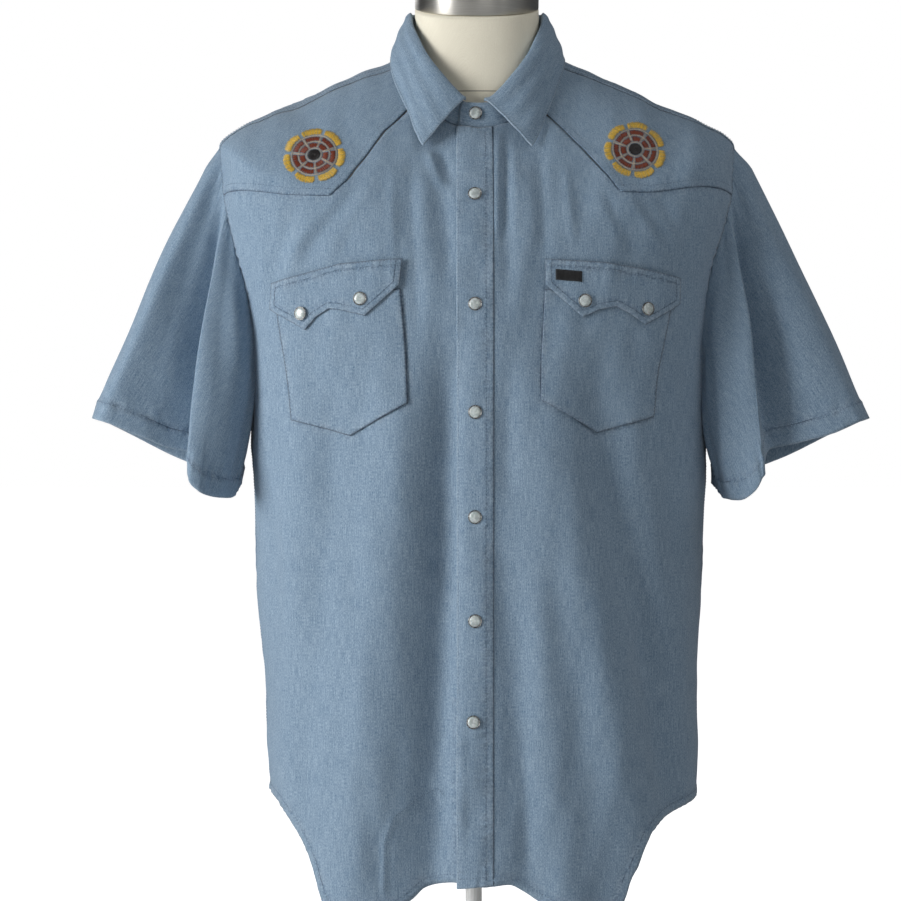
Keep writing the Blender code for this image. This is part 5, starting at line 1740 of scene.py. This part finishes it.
THREAD_BLUE = thread_finish("sewing_thread", (.060, .105, .165))
FLOWER = {"yellow": thread_finish("thread_yellow", (.70, .46, .070), .42, .06),
          "red": thread_finish("thread_red", (.205, .040, .016), .5, .04),
          "grey": thread_finish("thread_grey", (.50, .43, .34), .5, .05),
          "dark": thread_finish("thread_dark", (.006, .004, .004), .5, .05)}

# %% [markdown]
# The other finishes are plainer: tight cream linen on the form, brushed steel on its neck cap, pearl
# and bright metal on the snaps, and white paint on the stand.

# %% Linen, metal, pearl and paint
LINEN_SEAM = .9433
mat, t, shader = finish("form_linen", Roughness=.85, Sheen_Weight=.1, Specular_IOR_Level=.2)
spot = t.local()
uv = t.add("ShaderNodeUVMap", uv_map="cloth").outputs[0]
weave = use(t, WEAVE, Cloth=uv, Warp=(.78, .72, .58), Weft=(.96, .92, .77), Thread=1100.0, Slub=.22).outputs
height = t.add("ShaderNodeSeparateXYZ", Vector=spot).outputs[2]
line = t.remap(t.math("ABSOLUTE", t.math("SUBTRACT", height, LINEN_SEAM)), .0003, .0009, .65, 0.0)
t.put(shader.inputs["Base Color"], t.mix(line, weave["Colour"], (.16, .13, .09)))
t.put(shader.inputs["Normal"], t.bump(.35, .0004, weave["Height"]))
LINEN = mat

mat, t, shader = finish("cap_metal", Metallic=1.0, Roughness=.36, Anisotropic=.9)
spot = t.local()
brushed = t.noise(t.stretch(spot, (30, 30, 3200)), 1.0, 3.0, .6)
t.put(shader.inputs["Base Color"], t.mix(t.remap(brushed, .3, .7), (.56, .54, .50), (.66, .64, .60)))
t.put(shader.inputs["Roughness"], t.remap(brushed, .25, .75, .33, .40))
tangent = t.add("ShaderNodeTangent", direction_type="UV_MAP", uv_map="cloth")
t.put(shader.inputs["Tangent"], tangent.outputs[0])
t.put(shader.inputs["Normal"], t.bump(.04, .0001, brushed))
CAP_METAL = mat

mat, t, shader = finish("snap_pearl", Roughness=.22, Coat_Weight=.6, Coat_Roughness=.12,
                        Subsurface_Weight=.12)
spot = t.local()
swirl = t.noise(t.stretch(spot, (300, 300, 300)), 1.0, 3.0, .55)
t.put(shader.inputs["Base Color"], t.mix(t.remap(swirl, .32, .68), (.40, .43, .43), (.66, .68, .66)))
t.put(shader.inputs["Roughness"], t.remap(swirl, .3, .7, .18, .32))
t.put(shader.inputs["Normal"], t.bump(.05, .0002, swirl))
PEARL = mat

mat, t, shader = finish("snap_ring", Metallic=1.0, Roughness=.28)
spot = t.local()
worn = t.noise(spot, 700.0, 3.0, .6)
t.put(shader.inputs["Base Color"], t.mix(t.remap(worn, .35, .65), (.16, .16, .16), (.42, .42, .41)))
t.put(shader.inputs["Roughness"], t.remap(worn, .3, .7, .2, .42))
RING = mat

mat, t, shader = finish("stand_paint", Roughness=.38, Coat_Weight=.15)
spot = t.local()
skin = t.noise(spot, 420.0, 3.0, .6)
tone = t.remap(t.noise(spot, 9.0, 4.0), .4, .7)
t.put(shader.inputs["Base Color"], t.mix(tone, (.83, .83, .82), (.76, .76, .745)))
t.put(shader.inputs["Roughness"], t.remap(skin, .3, .7, .30, .48))
t.put(shader.inputs["Normal"], t.bump(.06, .0003, skin))
PAINT = mat


def paint(obj, *mats):
    kept = np.empty(len(obj.data.polygons), np.int32)
    obj.data.polygons.foreach_get("material_index", kept)
    obj.data.materials.clear()
    for m in mats:
        obj.data.materials.append(m)
    obj.data.polygons.foreach_set("material_index", np.minimum(kept, len(mats) - 1))


FINISHES = {"pearl": (RING, PEARL), "stitches": (THREAD_BLUE,), "woven": (LABEL_CLOTH,),
            "linen": (LINEN,), "steel": (CAP_METAL,)}
for obj in PIECES.objects:
    words = obj.name.split("_")
    if words[0] == "flower":
        paint(obj, FLOWER[words[1]])
    else:
        paint(obj, *FINISHES.get(words[0], (CHAMBRAY,)))
for node in ("post", "base"):
    obj = bpy.data.objects[node] if node in bpy.data.objects else frame["nodes"][node]
    for slot in obj.material_slots:
        slot.material = PAINT
print(len(bpy.data.materials), "materials")

# %% [markdown]
# The light is a plain studio. One large soft lamp stands in front at the viewer's left and
# above, a weak one fills the right, and the room itself is white to the camera but dim as a lamp.

# %% Studio
def lamp(name, at, aim, size, watts, tall=None):
    data = bpy.data.lights.new(name, "AREA")
    data.shape, data.size, data.size_y, data.energy = "RECTANGLE", size, tall or size, watts
    obj = bpy.data.objects.new(name, data)
    bpy.context.scene.collection.objects.link(obj)
    obj.location = at
    obj.rotation_euler = (Vector(aim) - Vector(at)).to_track_quat("-Z", "Y").to_euler()
    return obj


lamp("key", (-2.75, -1.45, 1.10), (0, 0, .55), 1.4, 90, 1.6)
lamp("fill", (1.0, -3.4, 1.0), (0, 0, .60), 2.0, 11)
lamp("rim", (-1.2, 2.4, 2.0), (0, 0, .7), 1.6, 10)
lamp("top", (1.5, -.5, 2.6), (.15, 0, .90), 1.2, 12)
lamp("strip", (2.3, -2.1, 1.2), (0, 0, 1.0), .12, 1.8, 1.6)

world = bpy.data.worlds.new("studio")
bpy.context.scene.world = world
world.use_nodes = True
t = Tree(world.node_tree)
world.node_tree.nodes.clear()
ray = t.add("ShaderNodeLightPath").outputs["Is Camera Ray"]
dim = t.add("ShaderNodeBackground", Color=(.92, .96, 1.0), Strength=.075)
white = t.add("ShaderNodeBackground", Color=(1.0, 1.0, 1.0), Strength=1.0)
both = t.add("ShaderNodeMixShader", i0=ray, i1=dim.outputs[0], i2=white.outputs[0])
t.tree.links.new(both.outputs[0], t.add("ShaderNodeOutputWorld").inputs[0])

bm = bmesh.new()
bmesh.ops.create_grid(bm, x_segments=8, y_segments=8, size=40)
mesh = bpy.data.meshes.new("floor")
bm.to_mesh(mesh)
bm.free()
floor = bpy.data.objects.new("floor", mesh)
bpy.context.scene.collection.objects.link(floor)
mat, t, shader = finish("floor_paper", Roughness=.9, Specular_IOR_Level=.1)
spot = t.local()
t.put(shader.inputs["Base Color"], t.mix(t.noise(spot, 3.0, 3.0), (.78, .78, .78), (.82, .82, .82)))
reach = t.add("ShaderNodeVectorMath", operation="LENGTH", i0=spot).outputs["Value"]
ray = t.add("ShaderNodeLightPath").outputs["Is Camera Ray"]
glow = t.math("MULTIPLY", t.remap(reach, .25, .95, .62, .97), ray)
lit = t.add("ShaderNodeEmission", Color=(1.0, 1.0, 1.0), Strength=glow)
both = t.add("ShaderNodeAddShader", i0=shader.outputs[0], i1=lit.outputs[0])
t.tree.links.new(both.outputs[0], t.tree.nodes["Material Output"].inputs[0])
floor.data.materials.append(mat)
bpy.context.scene.view_settings.view_transform = "Standard"
print("studio ready")
